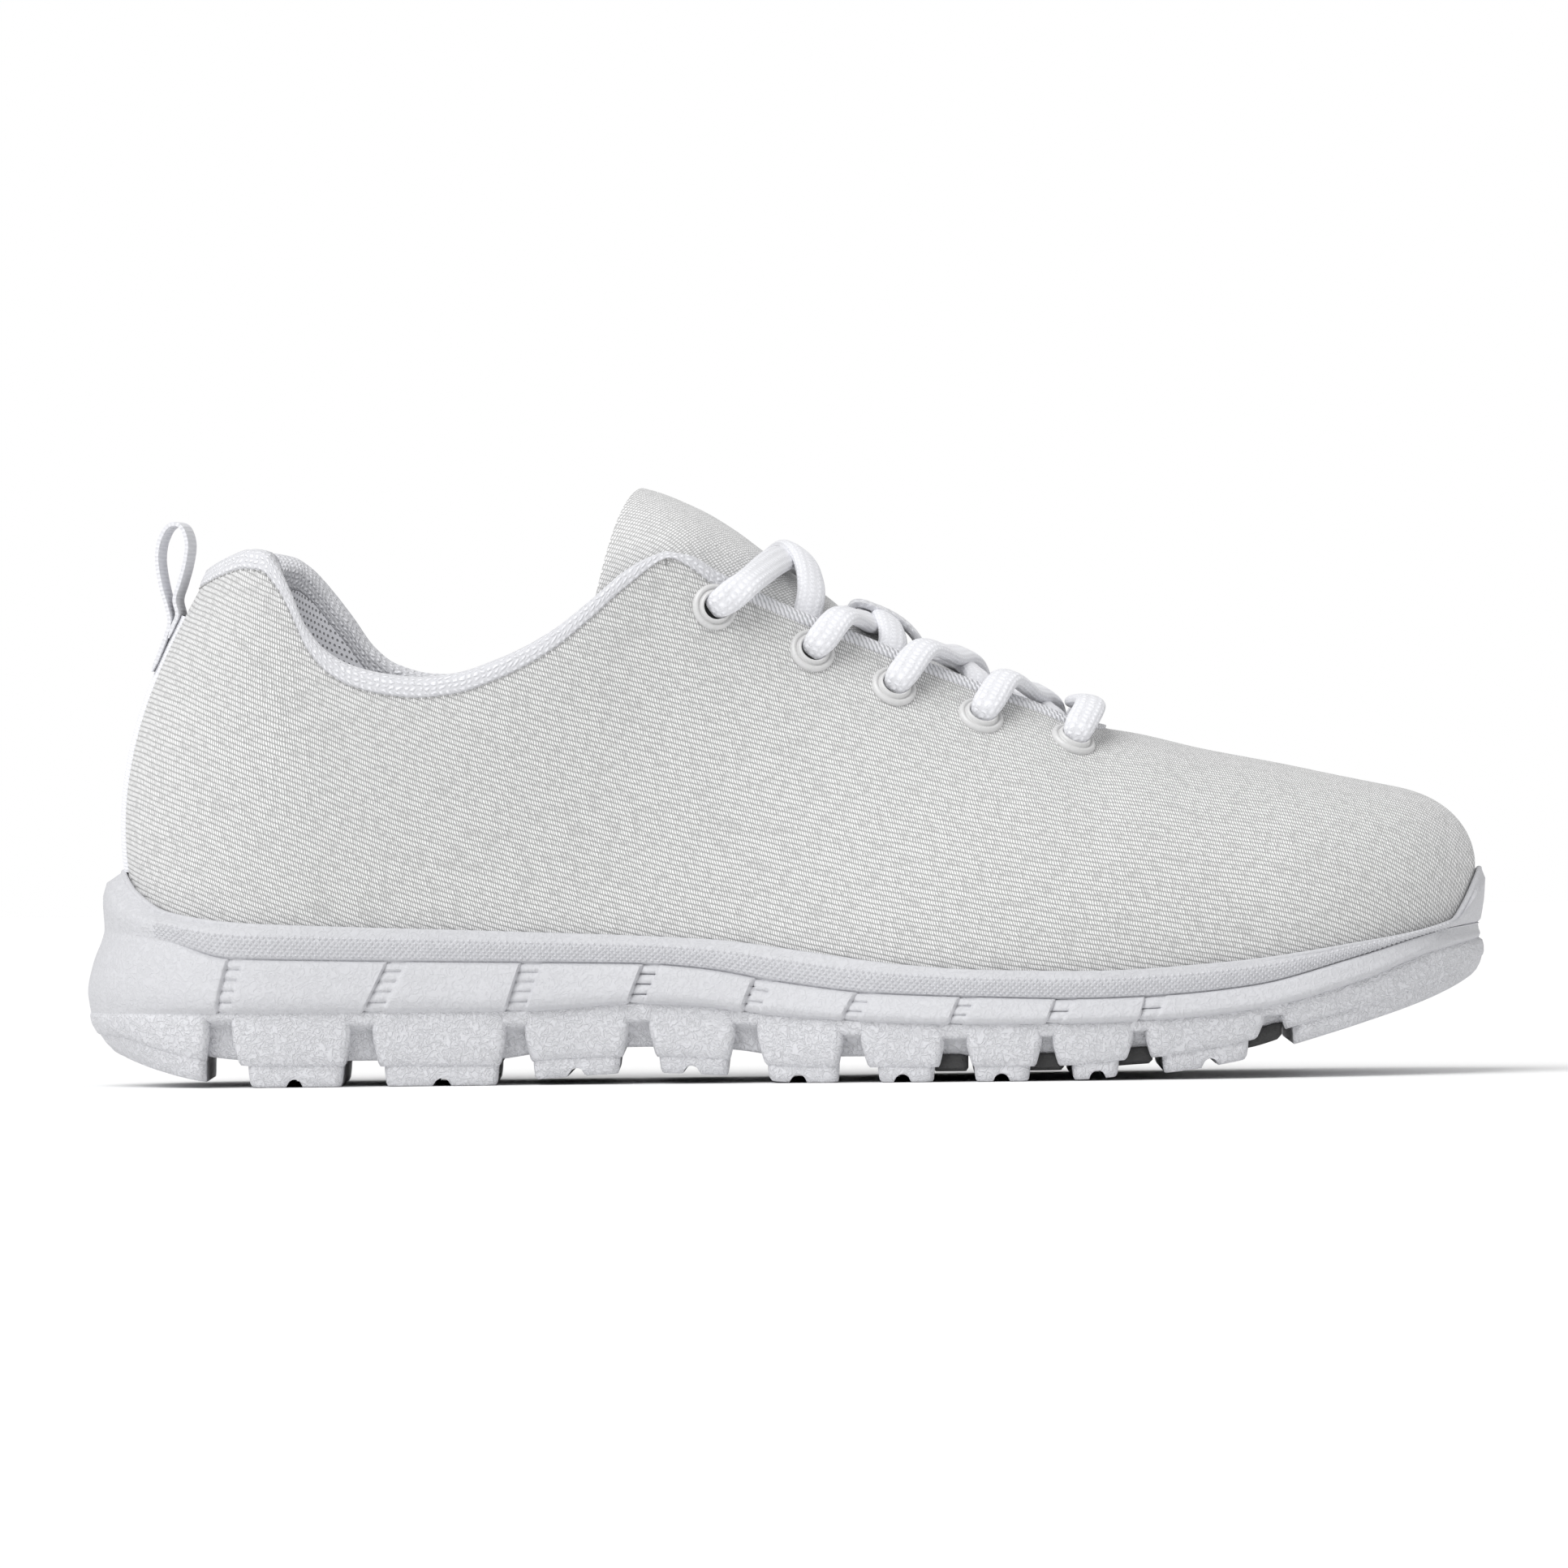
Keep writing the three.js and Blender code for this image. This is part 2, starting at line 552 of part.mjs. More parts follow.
function upper() {
  const face = upperFace();
  const normals = upperNormals(face);
  const rows = face[0].length;
  const lining = face.map((points, column) => points.map((p, row) => (
    p.clone().addScaledVector(normals[column][row], -wallThickness(UPPER_PLAN[column].x, row))
  )));
  const crown = face.map((points, column) => {
    const edge = points[rows - 1];
    const inside = lining[column][rows - 1];
    const height = 0.3 * edge.distanceTo(inside);
    return edge.clone().lerp(inside, 0.5).add(new THREE.Vector3(0, 0, height));
  });
  const points = [...face.flat(), ...lining.flat(), ...crown];
  const inside = COLUMNS * rows;
  const rim = 2 * COLUMNS * rows;
  const faces = [];
  for (let column = 0; column < COLUMNS; column += 1) {
    const next = (column + 1) % COLUMNS;
    for (let row = 0; row < rows - 1; row += 1) {
      const a = column * rows + row;
      const b = next * rows + row;
      quad(faces, a, b, b + 1, a + 1);
      quad(faces, inside + a, inside + a + 1, inside + b + 1, inside + b);
    }
    quad(faces, column * rows, inside + column * rows, inside + next * rows, next * rows);
    const open = Math.max(columnStation(column), columnStation(next)) <= THROAT_STATION;
    if (open) {
      const a = column * rows + rows - 1;
      const b = next * rows + rows - 1;
      quad(faces, a, b, rim + next, rim + column);
      quad(faces, rim + column, rim + next, inside + b, inside + a);
    }
  }
  return geometryOf(points, faces);
}

// ---- Eyelets ----------------------------------------------------------------------------------

// The rib that crosses the upper at x.
function ribAt(x, side) {
  const fraction = (x - UPPER_HEEL) / (UPPER_TOE - UPPER_HEEL);
  const step = 1e-3;
  const feather = (at) => planPoint(at, side, UPPER_HEEL, UPPER_TOE, FEATHER_INSET);
  const foot = feather(fraction);
  const along = feather(fraction + step).sub(feather(fraction - step)).normalize();
  return rib(side, { x: foot.x, y: foot.y, nx: -side * along.y, ny: side * along.x });
}

// A place on the outer surface at x, a given distance down from the throat edge, with the
// surface's outward direction there.
function eyestayPlace(x, side, distance) {
  const curve = ribAt(x, side);
  const t = 1 - distance / curve.getLength();
  const point = curve.getPointAt(t);
  const down = curve.getTangentAt(t);
  const ahead = ribAt(x + 1, side).getPointAt(t).sub(ribAt(x - 1, side).getPointAt(t));
  const normal = ahead.cross(down).multiplyScalar(-side).normalize();
  return { point, normal };
}

function eyeletRing() {
  const outer = EYELET_OUTER / 2;
  const bore = EYELET_BORE / 2;
  const profile = [
    [bore, 0], [outer, 0], [outer, 0.5 * EYELET_HEIGHT], [lerp(bore, outer, 0.55), 0.85 * EYELET_HEIGHT],
    [lerp(bore, outer, 0.2), EYELET_HEIGHT], [bore, 0.8 * EYELET_HEIGHT], [bore, 0],
  ].map(([r, z]) => new THREE.Vector2(r, z));
  const geometry = new THREE.LatheGeometry(profile, EYELET_SIDES);
  geometry.rotateX(Math.PI / 2);
  return geometry;
}

function eyeletHole() {
  const geometry = new THREE.CylinderGeometry(EYELET_BORE / 2, EYELET_BORE / 2, 8 * WALL, EYELET_SIDES);
  geometry.rotateX(Math.PI / 2);
  return geometry;
}

function standOn(object, place, rise) {
  object.quaternion.setFromUnitVectors(new THREE.Vector3(0, 0, 1), place.normal);
  object.position.copy(place.point).addScaledVector(place.normal, rise);
  object.updateMatrix();
  return object;
}

function piercedUpper() {
  let solid = toManifold(upper());
  for (const x of EYELET_ROWS) {
    for (const side of [-1, 1]) {
      const hole = new THREE.Mesh(eyeletHole());
      standOn(hole, eyestayPlace(x, side, EYELET_INSET), 0);
      hole.geometry.applyMatrix4(hole.matrix);
      solid = solid.subtract(toManifold(hole.geometry));
    }
  }
  return fromManifold(solid);
}

// ---- Insole -----------------------------------------------------------------------------------

function insole() {
  const gap = WALL + CLEARANCE;
  const bottom = (x) => footbedHeight(x) + CLEARANCE;
  const top = (x) => footbedHeight(x) + CLEARANCE + INSOLE_THICKNESS;
  const edge = ring(UPPER_PLAN, () => -gap, bottom);
  const rim = ring(UPPER_PLAN, () => -gap - 0.3, (x) => top(x) - 1);
  const shoulder = ring(UPPER_PLAN, () => -gap - 1.2, top);
  const rings = [
    shrunkRing(edge, 0.5, bottom),
    edge,
    rim,
    shoulder,
    shrunkRing(shoulder, 0.5, (x) => top(x) - 0.8),
  ];
  return ringSolid(rings);
}

// ---- Tongue ------------------------------------------------------------------------------------

const TONGUE_FRONT = 76 * ALONG;
const TONGUE_TIP = -30 * ALONG;
const TONGUE_SWEEP = 14 * ALONG;
const WING = 0.22;
const SHOULDER = 0.7;
const TONGUE_LEAST_HALF = 11;
const LACE_ROOM = LACE_THICKNESS + 2 * CLEARANCE;

// A point under the eyestay, clear of the wall by the room that the lace needs.
function underEyestay(x, side, t) {
  const curve = ribAt(x, side);
  const point = curve.getPoint(t);
  const slope = curve.getTangent(t);
  const depth = WALL + PADDING(x) * smooth(t, PAD_START, 0.9) + LACE_ROOM;
  const inward = new THREE.Vector3(0, -side * Math.abs(slope.z), -Math.abs(slope.y)).normalize();
  return point.addScaledVector(inward, depth);
}

// Where the tongue goes under the upper: at the throat edge, or where the throat has closed,
// as far out as the tongue's least half width.
function shoulderAt(x, side) {
  const curve = ribAt(x, side);
  let t = 1;
  while (Math.abs(curve.getPoint(t).y - SPINE(x)) < TONGUE_LEAST_HALF) t -= 0.01;
  return t;
}

// The tongue's outer face at x; v runs from -1 at the outer wing to 1 at the inner wing.
function tongueSection(x, v) {
  const side = v < 0 ? -1 : 1;
  const reach = Math.abs(v);
  const spine = SPINE(x);
  const edgeT = shoulderAt(x, side);
  if (reach > SHOULDER) {
    return underEyestay(x, side, edgeT - WING * (reach - SHOULDER) / (1 - SHOULDER));
  }
  const edge = underEyestay(x, side, edgeT);
  const swing = (reach / SHOULDER) * Math.PI / 2;
  const y = lerp(spine, edge.y, Math.sin(swing));
  const z = lerp(edge.z, TONGUE_CREST(x), Math.cos(swing));
  return new THREE.Vector3(x, y, z);
}

function tongue() {
  const lengthSteps = 15;
  const widthSteps = 10;
  const face = [];
  for (let i = 0; i <= lengthSteps; i += 1) {
    const column = [];
    for (let j = 0; j <= widthSteps; j += 1) {
      const v = -1 + 2 * j / widthSteps;
      const end = TONGUE_TIP - TONGUE_SWEEP * Math.abs(v) ** 1.5;
      column.push(tongueSection(lerp(end, TONGUE_FRONT, i / lengthSteps), v));
    }
    face.push(column);
  }
  const thickness = (along, across) => {
    const ends = Math.min(1, 0.45 + 5 * Math.min(along, 1 - along));
    const wings = Math.min(1, 0.45 + 5 * Math.min(across, 1 - across));
    return TONGUE_THICKNESS * Math.min(ends, wings);
  };
  return plate(face, thickness);
}

function tongueTop(x, y) {
  const spine = SPINE(x);
  const side = y < spine ? -1 : 1;
  const edge = underEyestay(x, side, shoulderAt(x, side));
  const share = Math.min(1, Math.abs(y - spine) / Math.abs(edge.y - spine));
  return edge.z + (TONGUE_CREST(x) - edge.z) * Math.sqrt(1 - share * share);
}

// ---- Laces ------------------------------------------------------------------------------------

// A flat round-edged lace along a smooth curve, lying flat to the given ups.
function lace(stops) {
  const path = new THREE.CatmullRomCurve3(stops.map((s) => s.point), false, 'centripetal');
  const steps = Math.round(2.6 * (stops.length - 1));
  const sides = 8;
  const points = [];
  for (let k = 0; k <= steps; k += 1) {
    const t = k / steps;
    const at = path.getPoint(t);
    const along = path.getTangent(t);
    const stop = t * (stops.length - 1);
    const low = Math.min(Math.floor(stop), stops.length - 2);
    const up = stops[low].up.clone().lerp(stops[low + 1].up, stop - low);
    up.addScaledVector(along, -up.dot(along)).normalize();
    const across = along.clone().cross(up);
    for (let s = 0; s < sides; s += 1) {
      const angle = 2 * Math.PI * (s + 0.5) / sides;
      points.push(at.clone()
        .addScaledVector(across, 0.5 * LACE_WIDTH * Math.cos(angle))
        .addScaledVector(up, 0.5 * LACE_THICKNESS * Math.sin(angle)));
    }
  }
  const faces = [];
  for (let k = 0; k < steps; k += 1) {
    for (let s = 0; s < sides; s += 1) {
      const next = (s + 1) % sides;
      quad(faces, k * sides + s, (k + 1) * sides + s, (k + 1) * sides + next, k * sides + next);
    }
  }
  const end = steps * sides;
  for (let s = 1; s < sides - 1; s += 1) {
    faces.push(0, s, s + 1);
    faces.push(end, end + s + 1, end + s);
  }
  return geometryOf(points, faces);
}

const LACE_LIFT = CLEARANCE + LACE_THICKNESS / 2;
const UPRIGHT = new THREE.Vector3(0, 0, 1);

function overEyelet(x, side) {
  const place = eyestayPlace(x, side, EYELET_INSET);
  const rise = EYELET_SEAT + EYELET_HEIGHT + LACE_LIFT + 0.4;
  return { point: place.point.clone().addScaledVector(place.normal, rise), up: place.normal };
}

function overEdge(x, side) {
  const edge = topEdge(x, side);
  const place = eyestayPlace(x, side, 1);
  const point = edge.addScaledVector(place.normal, LACE_LIFT + 2.3);
  return { point, up: place.normal.clone().add(UPRIGHT).normalize() };
}

// A place over the tongue at x, a share of the way from the middle to the throat edge.
function overTongue(x, share, rise) {
  const spine = SPINE(x);
  const edge = topEdge(x, share < 0 ? -1 : 1);
  const y = spine + Math.abs(edge.y - spine) * share;
  const step = 0.5;
  const slopeX = (tongueTop(x + step, y) - tongueTop(x - step, y)) / (2 * step);
  const slopeY = (tongueTop(x, y + step) - tongueTop(x, y - step)) / (2 * step);
  const up = new THREE.Vector3(-slopeX, -slopeY, 1).normalize();
  const point = new THREE.Vector3(x, y, tongueTop(x, y)).addScaledVector(up, LACE_LIFT + rise);
  return { point, up };
}

// One strand: from over the eyelet of a row, across the tongue, to the far edge by the next row.
function strand(row, side, rise) {
  const at = (share) => lerp(EYELET_ROWS[row], EYELET_ROWS[row + 1], share);
  const landing = row === EYELET_ROWS.length - 2 ? 0.74 : 1.06;
  const middle = 0.68 * landing;
  return lace([
    overEyelet(at(0), side),
    overEdge(at(0.4 * middle), side),
    overTongue(at(0.8 * middle), 0.5 * side, rise),
    overTongue(at(middle), 0, rise),
    overTongue(at(lerp(middle, landing, 0.6)), -0.35 * side, rise),
    overTongue(at(landing), -0.58 * side, rise),
  ]);
}

function laceCrossing(row) {
  const under = toManifold(strand(row, 1, 0.2));
  const over = toManifold(strand(row, -1, 0.2 + 0.6 * LACE_THICKNESS));
  return fromManifold(under.add(over));
}

function laceBar() {
  const x = EYELET_ROWS[EYELET_ROWS.length - 1];
  const edgeLeft = overEdge(x, -1);
  const edgeRight = overEdge(x, 1);
  const crest = Math.max(edgeLeft.point.z, TONGUE_CREST(x) + LACE_LIFT) + 0.8;
  const middle = new THREE.Vector3(x, SPINE(x), crest);
  return lace([overEyelet(x, -1), edgeLeft, { point: middle, up: UPRIGHT }, edgeRight, overEyelet(x, 1)]);
}

// ---- Lace keeper and pull loop -----------------------------------------------------------------

// A strap that runs lengthwise on the tongue and arches over the second crossing.
function laceKeeper() {
  const crossing = lerp(EYELET_ROWS[1], EYELET_ROWS[2], 0.88);
  const half = 8.6 * ALONG;
  const lift = 3 * CLEARANCE + 1.8 * LACE_THICKNESS + KEEPER_THICKNESS;
  const lengthSteps = 10;
  const widthSteps = 4;
  const face = [];
  for (let i = 0; i <= lengthSteps; i += 1) {
    const share = -1 + 2 * i / lengthSteps;
    const x = crossing + half * share;
    const arch = lerp(CLEARANCE + 0.2 + KEEPER_THICKNESS, lift, Math.sqrt(1 - share * share));
    const column = [];
    for (let j = 0; j <= widthSteps; j += 1) {
      const y = SPINE(x) + KEEPER_WIDTH * (j / widthSteps - 0.5);
      column.push(new THREE.Vector3(x, y, tongueTop(x, y) + 1.2 * arch));
    }
    face.push(column);
  }
  return plate(face, () => KEEPER_THICKNESS);
}

// A webbing loop that leaves the back seam, opens into a standing teardrop and comes back
// between its own foot and the collar. Its near edge lies a little further back.
function heelLoop() {
  const curve = rib(-1, UPPER_PLAN[0]);
  const back = (z) => {
    let t = 0;
    while (curve.getPoint(t).z < z && t < 1) t += 0.005;
    return curve.getPoint(t).x;
  };
  const off = CLEARANCE + WEBBING_THICKNESS / 2 + LOOP_SLEW * WEBBING_WIDTH / 2;
  const under = WEBBING_THICKNESS + CLEARANCE;
  const top = OUTER_TOPLINE(TOPLINE_BACK);
  const along = [
    [back(top - 14.5) - off, top - 14.5],
    [back(top - 10) - off - 0.8 * under, top - 10],
    [back(top - 5.5) - off - 1.8 * under, top - 5.5],
    [TOPLINE_BACK - 10.3, top - 1],
    [TOPLINE_BACK - 11.2, top + 3],
    [TOPLINE_BACK - 11.4, top + 7],
    [TOPLINE_BACK - 10, top + 10.4],
    [TOPLINE_BACK - 7.2, top + 11.8],
    [TOPLINE_BACK - 4.4, top + 10.6],
    [TOPLINE_BACK - 3, top + 7.2],
    [TOPLINE_BACK - 3.2, top + 3.4],
    [back(top - 1) - off - under, top - 1],
    [back(top - 4.5) - off - 0.6 * under, top - 4.5],
  ];
  const path = new THREE.CatmullRomCurve3(along.map(([x, z]) => new THREE.Vector3(x, 0, z)));
  const steps = 34;
  const face = [];
  for (let k = 0; k <= steps; k += 1) {
    const at = path.getPoint(k / steps);
    const tangent = path.getTangent(k / steps);
    const out = new THREE.Vector3(-tangent.z, 0, tangent.x).multiplyScalar(WEBBING_THICKNESS / 2);
    face.push([1, -1].map((side) => {
      const y = side * WEBBING_WIDTH / 2;
      return new THREE.Vector3(at.x + out.x + LOOP_SLEW * y, y, at.z + out.z);
    }));
  }
  return plate(face, () => WEBBING_THICKNESS);
}

// ---- Assembly ----------------------------------------------------------------------------------

function finish(colour, roughness) {
  return new THREE.MeshStandardMaterial({ color: colour, roughness, metalness: 0 });
}

const shoe = new THREE.Group();

function addPart(name, geometry, material) {
  const mesh = new THREE.Mesh(geometry, material);
  mesh.name = name;
  shoe.add(mesh);
  return mesh;
}

addPart('outsole', outsole(), finish(0xd9dae2, 0.6));
addPart('midsole', midsole(), finish(0xdcdde3, 0.55));
addPart('insole', insole(), finish(0xd8d9dc, 0.9));
addPart('upper', piercedUpper(), finish(0xd6d6d6, 0.9));
addPart('tongue', tongue(), finish(0xdddddd, 0.9));
addPart('lace_keeper', laceKeeper(), finish(0xdedede, 0.9));
addPart('heel_loop', heelLoop(), finish(0xd9dae1, 0.8));
for (let row = 0; row < EYELET_ROWS.length; row += 1) {
  for (const side of [-1, 1]) {
    const name = `eyelet_${side < 0 ? 'outer' : 'inner'}_${row + 1}`;
    const eyelet = addPart(name, eyeletRing(), finish(0xd6d8d7, 0.35));
    standOn(eyelet, eyestayPlace(EYELET_ROWS[row], side, EYELET_INSET), EYELET_SEAT);
  }
}
for (let row = 0; row < EYELET_ROWS.length - 1; row += 1) {
  addPart(`lace_crossing_${row + 1}`, laceCrossing(row), finish(0xe6e7ed, 0.85));
}
addPart('lace_bar', laceBar(), finish(0xe6e7ed, 0.85));

// The origin stands at the middle of the footprint, on the floor.
const bounds = new THREE.Box3().setFromObject(shoe, true);
const centre = bounds.getCenter(new THREE.Vector3());
shoe.position.set(-centre.x, -centre.y, -bounds.min.z);

export default shoe;
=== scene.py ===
"""Running shoe for the right foot, standing empty on its sole.

Shapes are worked out in millimetres in the shoe's own axes: x towards the toe, y towards the
inner side of the foot, z up. place() turns them into the frame's metres.
"""
import math

import bmesh
import bpy
import numpy as np
from mathutils import Matrix, Vector


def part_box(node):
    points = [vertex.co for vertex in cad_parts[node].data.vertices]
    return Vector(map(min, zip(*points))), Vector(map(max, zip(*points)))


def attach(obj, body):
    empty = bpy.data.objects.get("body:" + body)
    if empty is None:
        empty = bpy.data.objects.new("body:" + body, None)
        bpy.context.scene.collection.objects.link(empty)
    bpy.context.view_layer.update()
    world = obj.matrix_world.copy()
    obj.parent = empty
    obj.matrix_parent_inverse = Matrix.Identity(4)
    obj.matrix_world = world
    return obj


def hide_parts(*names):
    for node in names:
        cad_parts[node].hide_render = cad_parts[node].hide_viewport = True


bl_info = {
    "name": "Running Shoe",
    "version": (1, 0, 0),
    "blender": (4, 5, 0),
    "location": "View3D > Sidebar > Running Shoe",
    "description": "Builds a knit running shoe with a moulded sole, laces and pull loop",
    "category": "Object",
}

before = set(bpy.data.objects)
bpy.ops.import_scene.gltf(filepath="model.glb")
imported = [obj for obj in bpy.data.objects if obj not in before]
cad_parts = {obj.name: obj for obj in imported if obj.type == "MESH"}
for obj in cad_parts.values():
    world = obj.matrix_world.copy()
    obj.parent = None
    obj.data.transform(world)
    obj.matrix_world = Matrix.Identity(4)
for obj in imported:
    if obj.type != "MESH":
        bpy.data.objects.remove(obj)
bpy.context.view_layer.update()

# ---- Sizes taken from the frame -----------------------------------------------------------

MILLIMETRE = 0.001
WELD_DISTANCE = 0.002 * MILLIMETRE


def box_mm(node):
    """Lowest and highest corner of a CAD node in millimetres."""
    low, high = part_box(node)
    return np.array(low) / MILLIMETRE, np.array(high) / MILLIMETRE


SOLE_LOW, SOLE_HIGH = box_mm("midsole")
LOOP_LOW, LOOP_HIGH = box_mm("heel_loop")
PATTERN_LENGTH, PATTERN_WIDTH, PATTERN_HEIGHT = 295.0, 105.6, 124.9
ALONG = (SOLE_HIGH[0] - SOLE_LOW[0]) / PATTERN_LENGTH
ACROSS = (SOLE_HIGH[1] - SOLE_LOW[1]) / PATTERN_WIDTH
UPWARD = box_mm("tongue")[1][2] / PATTERN_HEIGHT
HEEL, TOE = SOLE_LOW[0], SOLE_HIGH[0]
SHOE_MIDDLE = (LOOP_LOW[1] + LOOP_HIGH[1]) / 2

CLEARANCE = 0.3
WALL = 2.2
COLLAR_PADDING = 9.0
LIP_SIDE, LIP_END = 2.2, 1.2
RECESS = 5.2
FEATHER = 5.6
UPPER_HEEL, UPPER_TOE = HEEL + 8.7, TOE - 2.2
LACE_WIDTH, LACE_THICKNESS = 6.5, 3.1
LACE_ROOM = 3.2
EYELET_RADIUS, EYELET_BORE = 4.9, 2.7
ROWS = [x * ALONG for x in (-14.6, 5.7, 22.7, 40.8, 60.1)]
ROW_INSETS = [9.0, 8.2, 10.2, 10.3, 9.6]
THROAT_BASE = 67.4 * ALONG
THROAT_ROUND = 12.0
TOPLINE_BACK = -121.5 * ALONG


def place(points):
    """Shoe millimetres to frame metres."""
    return (np.asarray(points) + np.array([0.0, SHOE_MIDDLE, 0.0])) * MILLIMETRE


# ---- Curves -------------------------------------------------------------------------------

def lerp(a, b, t):
    """Straight mix of a and b."""
    return a + (b - a) * t


def smooth(value, low, high):
    """Rises from 0 at low to 1 at high as 3t^2 - 2t^3."""
    t = np.clip((value - low) / (high - low), 0.0, 1.0)
    return t * t * (3.0 - 2.0 * t)


def chart(points, scale=1.0, unit=1.0):
    """Cubic in each span between the pairs; each slope is the harmonic mean of its two spans'."""
    xs, ys = np.array(points, float).T
    steep = np.diff(ys) / np.diff(xs)
    same = steep[:-1] * steep[1:] > 0
    total = np.where(same, steep[:-1] + steep[1:], 1.0)
    middle = np.where(same, 2.0 * steep[:-1] * steep[1:] / total, 0.0)
    slopes = np.concatenate([steep[:1], middle, steep[-1:]])

    def curve(x):
        x = np.clip(np.asarray(x, float) / unit, xs[0], xs[-1])
        k = np.clip(np.searchsorted(xs, x, side="right") - 1, 0, len(xs) - 2)
        width = xs[k + 1] - xs[k]
        t = (x - xs[k]) / width
        rise = t * t * (3.0 - 2.0 * t)
        bend = width * t * (1.0 - t) * (slopes[k] * (1.0 - t) - slopes[k + 1] * t)
        return scale * (ys[k] * (1.0 - rise) + ys[k + 1] * rise + bend)

    return curve


def along_chart(points, scale):
    """A chart whose positions stretch with the shoe's length."""
    return chart(points, scale, ALONG)


def round_end(distance, radius, power):
    """Rises from 0 to 1 over the radius as the root of 1 - (1 - u)^power."""
    u = np.clip(distance / radius, 0.0, 1.0)
    return np.sqrt(1.0 - (1.0 - u) ** power)


SPINE = along_chart([(-147, 0), (-50, -1.5), (20, 0), (67, 1.5), (105, 4), (147, 9)], ACROSS)
OUTER_HALF = along_chart([
    (-147, 37), (-110, 37.3), (-50, 36.5), (-20, 39), (0, 43.5), (20, 49), (42, 52.6),
    (60, 53.1), (80, 51.4), (100, 48.6), (120, 46.6), (147, 45)], ACROSS)
INNER_HALF = along_chart([
    (-147, 37), (-110, 37), (-80, 36.8), (-50, 35.4), (-20, 35.6), (0, 39), (20, 44.4),
    (42, 50), (60, 52.3), (80, 51.2), (100, 48.2), (120, 45), (147, 42)], ACROSS)
LIP = along_chart([
    (-140, 47.6), (-136, 41.5), (-129, 36.9), (-114.6, 34.5), (-97.5, 33.6), (-63.4, 32.3),
    (-15.5, 30), (5, 27.2), (22, 24.7), (39, 23.3), (63, 22.8), (90.5, 24.3), (116, 27.7),
    (138.5, 32.4), (140.6, 34.9), (145.3, 43.4)], UPWARD)
BAND = along_chart([
    (-147, 33), (-131.5, 30.7), (-117.4, 27), (-99, 26.4), (-43, 25.3), (-30, 25),
    (-18, 23.9), (-3, 21.1), (16, 18.6), (35, 17.7), (62, 17), (78, 17.5), (97, 19.3),
    (120, 25.1), (139, 30.4), (147, 31.5)], UPWARD)
TREAD = along_chart([
    (-147, 15.4), (-56, 15.2), (-31.5, 16.5), (-18.5, 15.9), (-7, 14.3), (8, 13), (33, 11.8),
    (56, 11.7), (74, 12.1), (97, 14.2), (120, 20), (133, 25), (147, 28.4)], UPWARD)
GROUND = along_chart([
    (-140, 6.4), (-132, 3.7), (-124, 1.7), (-116, 0.5), (-108, 0), (-62, 0), (-50, 1.4),
    (-30, 2.3), (-12, 1.6), (-1, 0.2), (6, 0), (54, 0), (62, 0.3), (70, 0.9), (78, 1.4),
    (96, 4.2), (105.7, 7.1), (119.4, 11.1), (133, 15.5), (140, 18.4), (147, 22)], UPWARD)
FOOTBED = along_chart([
    (-140, 37), (-129, 35.7), (-97.5, 33.6), (-63.4, 32.3), (-15.5, 30), (5, 27.2),
    (22, 24.7), (39, 23.3), (63, 22.8), (90.5, 24.3), (116, 27.7), (140, 32.6),
    (146, 34)], UPWARD)
THROAT_HEIGHTS = [
    (-6.2, 102), (7.4, 96), (16.3, 92.5), (25.3, 88.6), (33.8, 85.2), (42.7, 81.7),
    (52.5, 78.2), (59.4, 75.2), (67.4, 73.2)]
OUTER_TOPLINE = along_chart([
    (-121.5, 107.2), (-116.5, 109.7), (-112, 111), (-108.6, 110.5), (-105.6, 107.2),
    (-102.8, 102), (-99.5, 94.4), (-95.3, 89.3), (-90.2, 86.3), (-83.3, 84.5), (-76.5, 83.8),
    (-69.6, 84.4), (-59.4, 87.7), (-49, 93.1), (-40.4, 99.8), (-33.5, 105.6), (-28.3, 108.5),
    (-24, 109.6), (-19.7, 109.2), (-13.4, 105.6)] + THROAT_HEIGHTS, UPWARD)
INNER_TOPLINE = along_chart([
    (-121.5, 107.2), (-116, 109.5), (-110, 110.8), (-104.5, 109.9), (-100.5, 107.6),
    (-96.8, 104), (-91.8, 97.6), (-86.6, 90.2), (-82.5, 87), (-75, 84.9), (-66, 84.6),
    (-57, 87.1), (-48, 91.6), (-40, 97.6), (-33, 103.8), (-27, 107.6), (-22, 108.4),
    (-17, 107.2), (-13.4, 105.4)] + THROAT_HEIGHTS, UPWARD)
VAMP_RIDGE = along_chart([
    (67.4, 73.2), (73.9, 72.1), (87.5, 68.8), (104.6, 65.4), (116.6, 62.8), (128.4, 60.4),
    (146, 57.5)], UPWARD)
HALF_OPENING = along_chart([
    (-121.5, 31), (-100, 30.5), (-80, 31.5), (-60, 33), (-40, 34), (-24, 32.5), (-13, 28),
    (5, 22), (23, 18.5), (41, 16), (56, 14), (67.4, 12)], ACROSS)
TOPLINE_LEAN = along_chart([
    (-121.5, 62), (-112, 70), (-95, 80), (-75, 84), (-50, 80), (-35, 73), (-24, 66),
    (-13, 58), (5, 51), (23, 44), (41, 37), (56, 27), (67.4, 22)], math.pi / 180.0)
FLARE = along_chart([
    (-140, 3.6), (-110, 3), (-70, 0.5), (-40, -1), (0, 0.5), (40, 2.5), (90, 2),
    (125, 1.2), (146, 0.6)], 1.0)
PADDING = along_chart([
    (-121.5, COLLAR_PADDING - WALL), (-104, 0.6 * COLLAR_PADDING - WALL + 1.4),
    (-60, 0.35 * COLLAR_PADDING - WALL + 1.9), (-30, 2), (-15, 0.7), (0, 0)], 1.0)
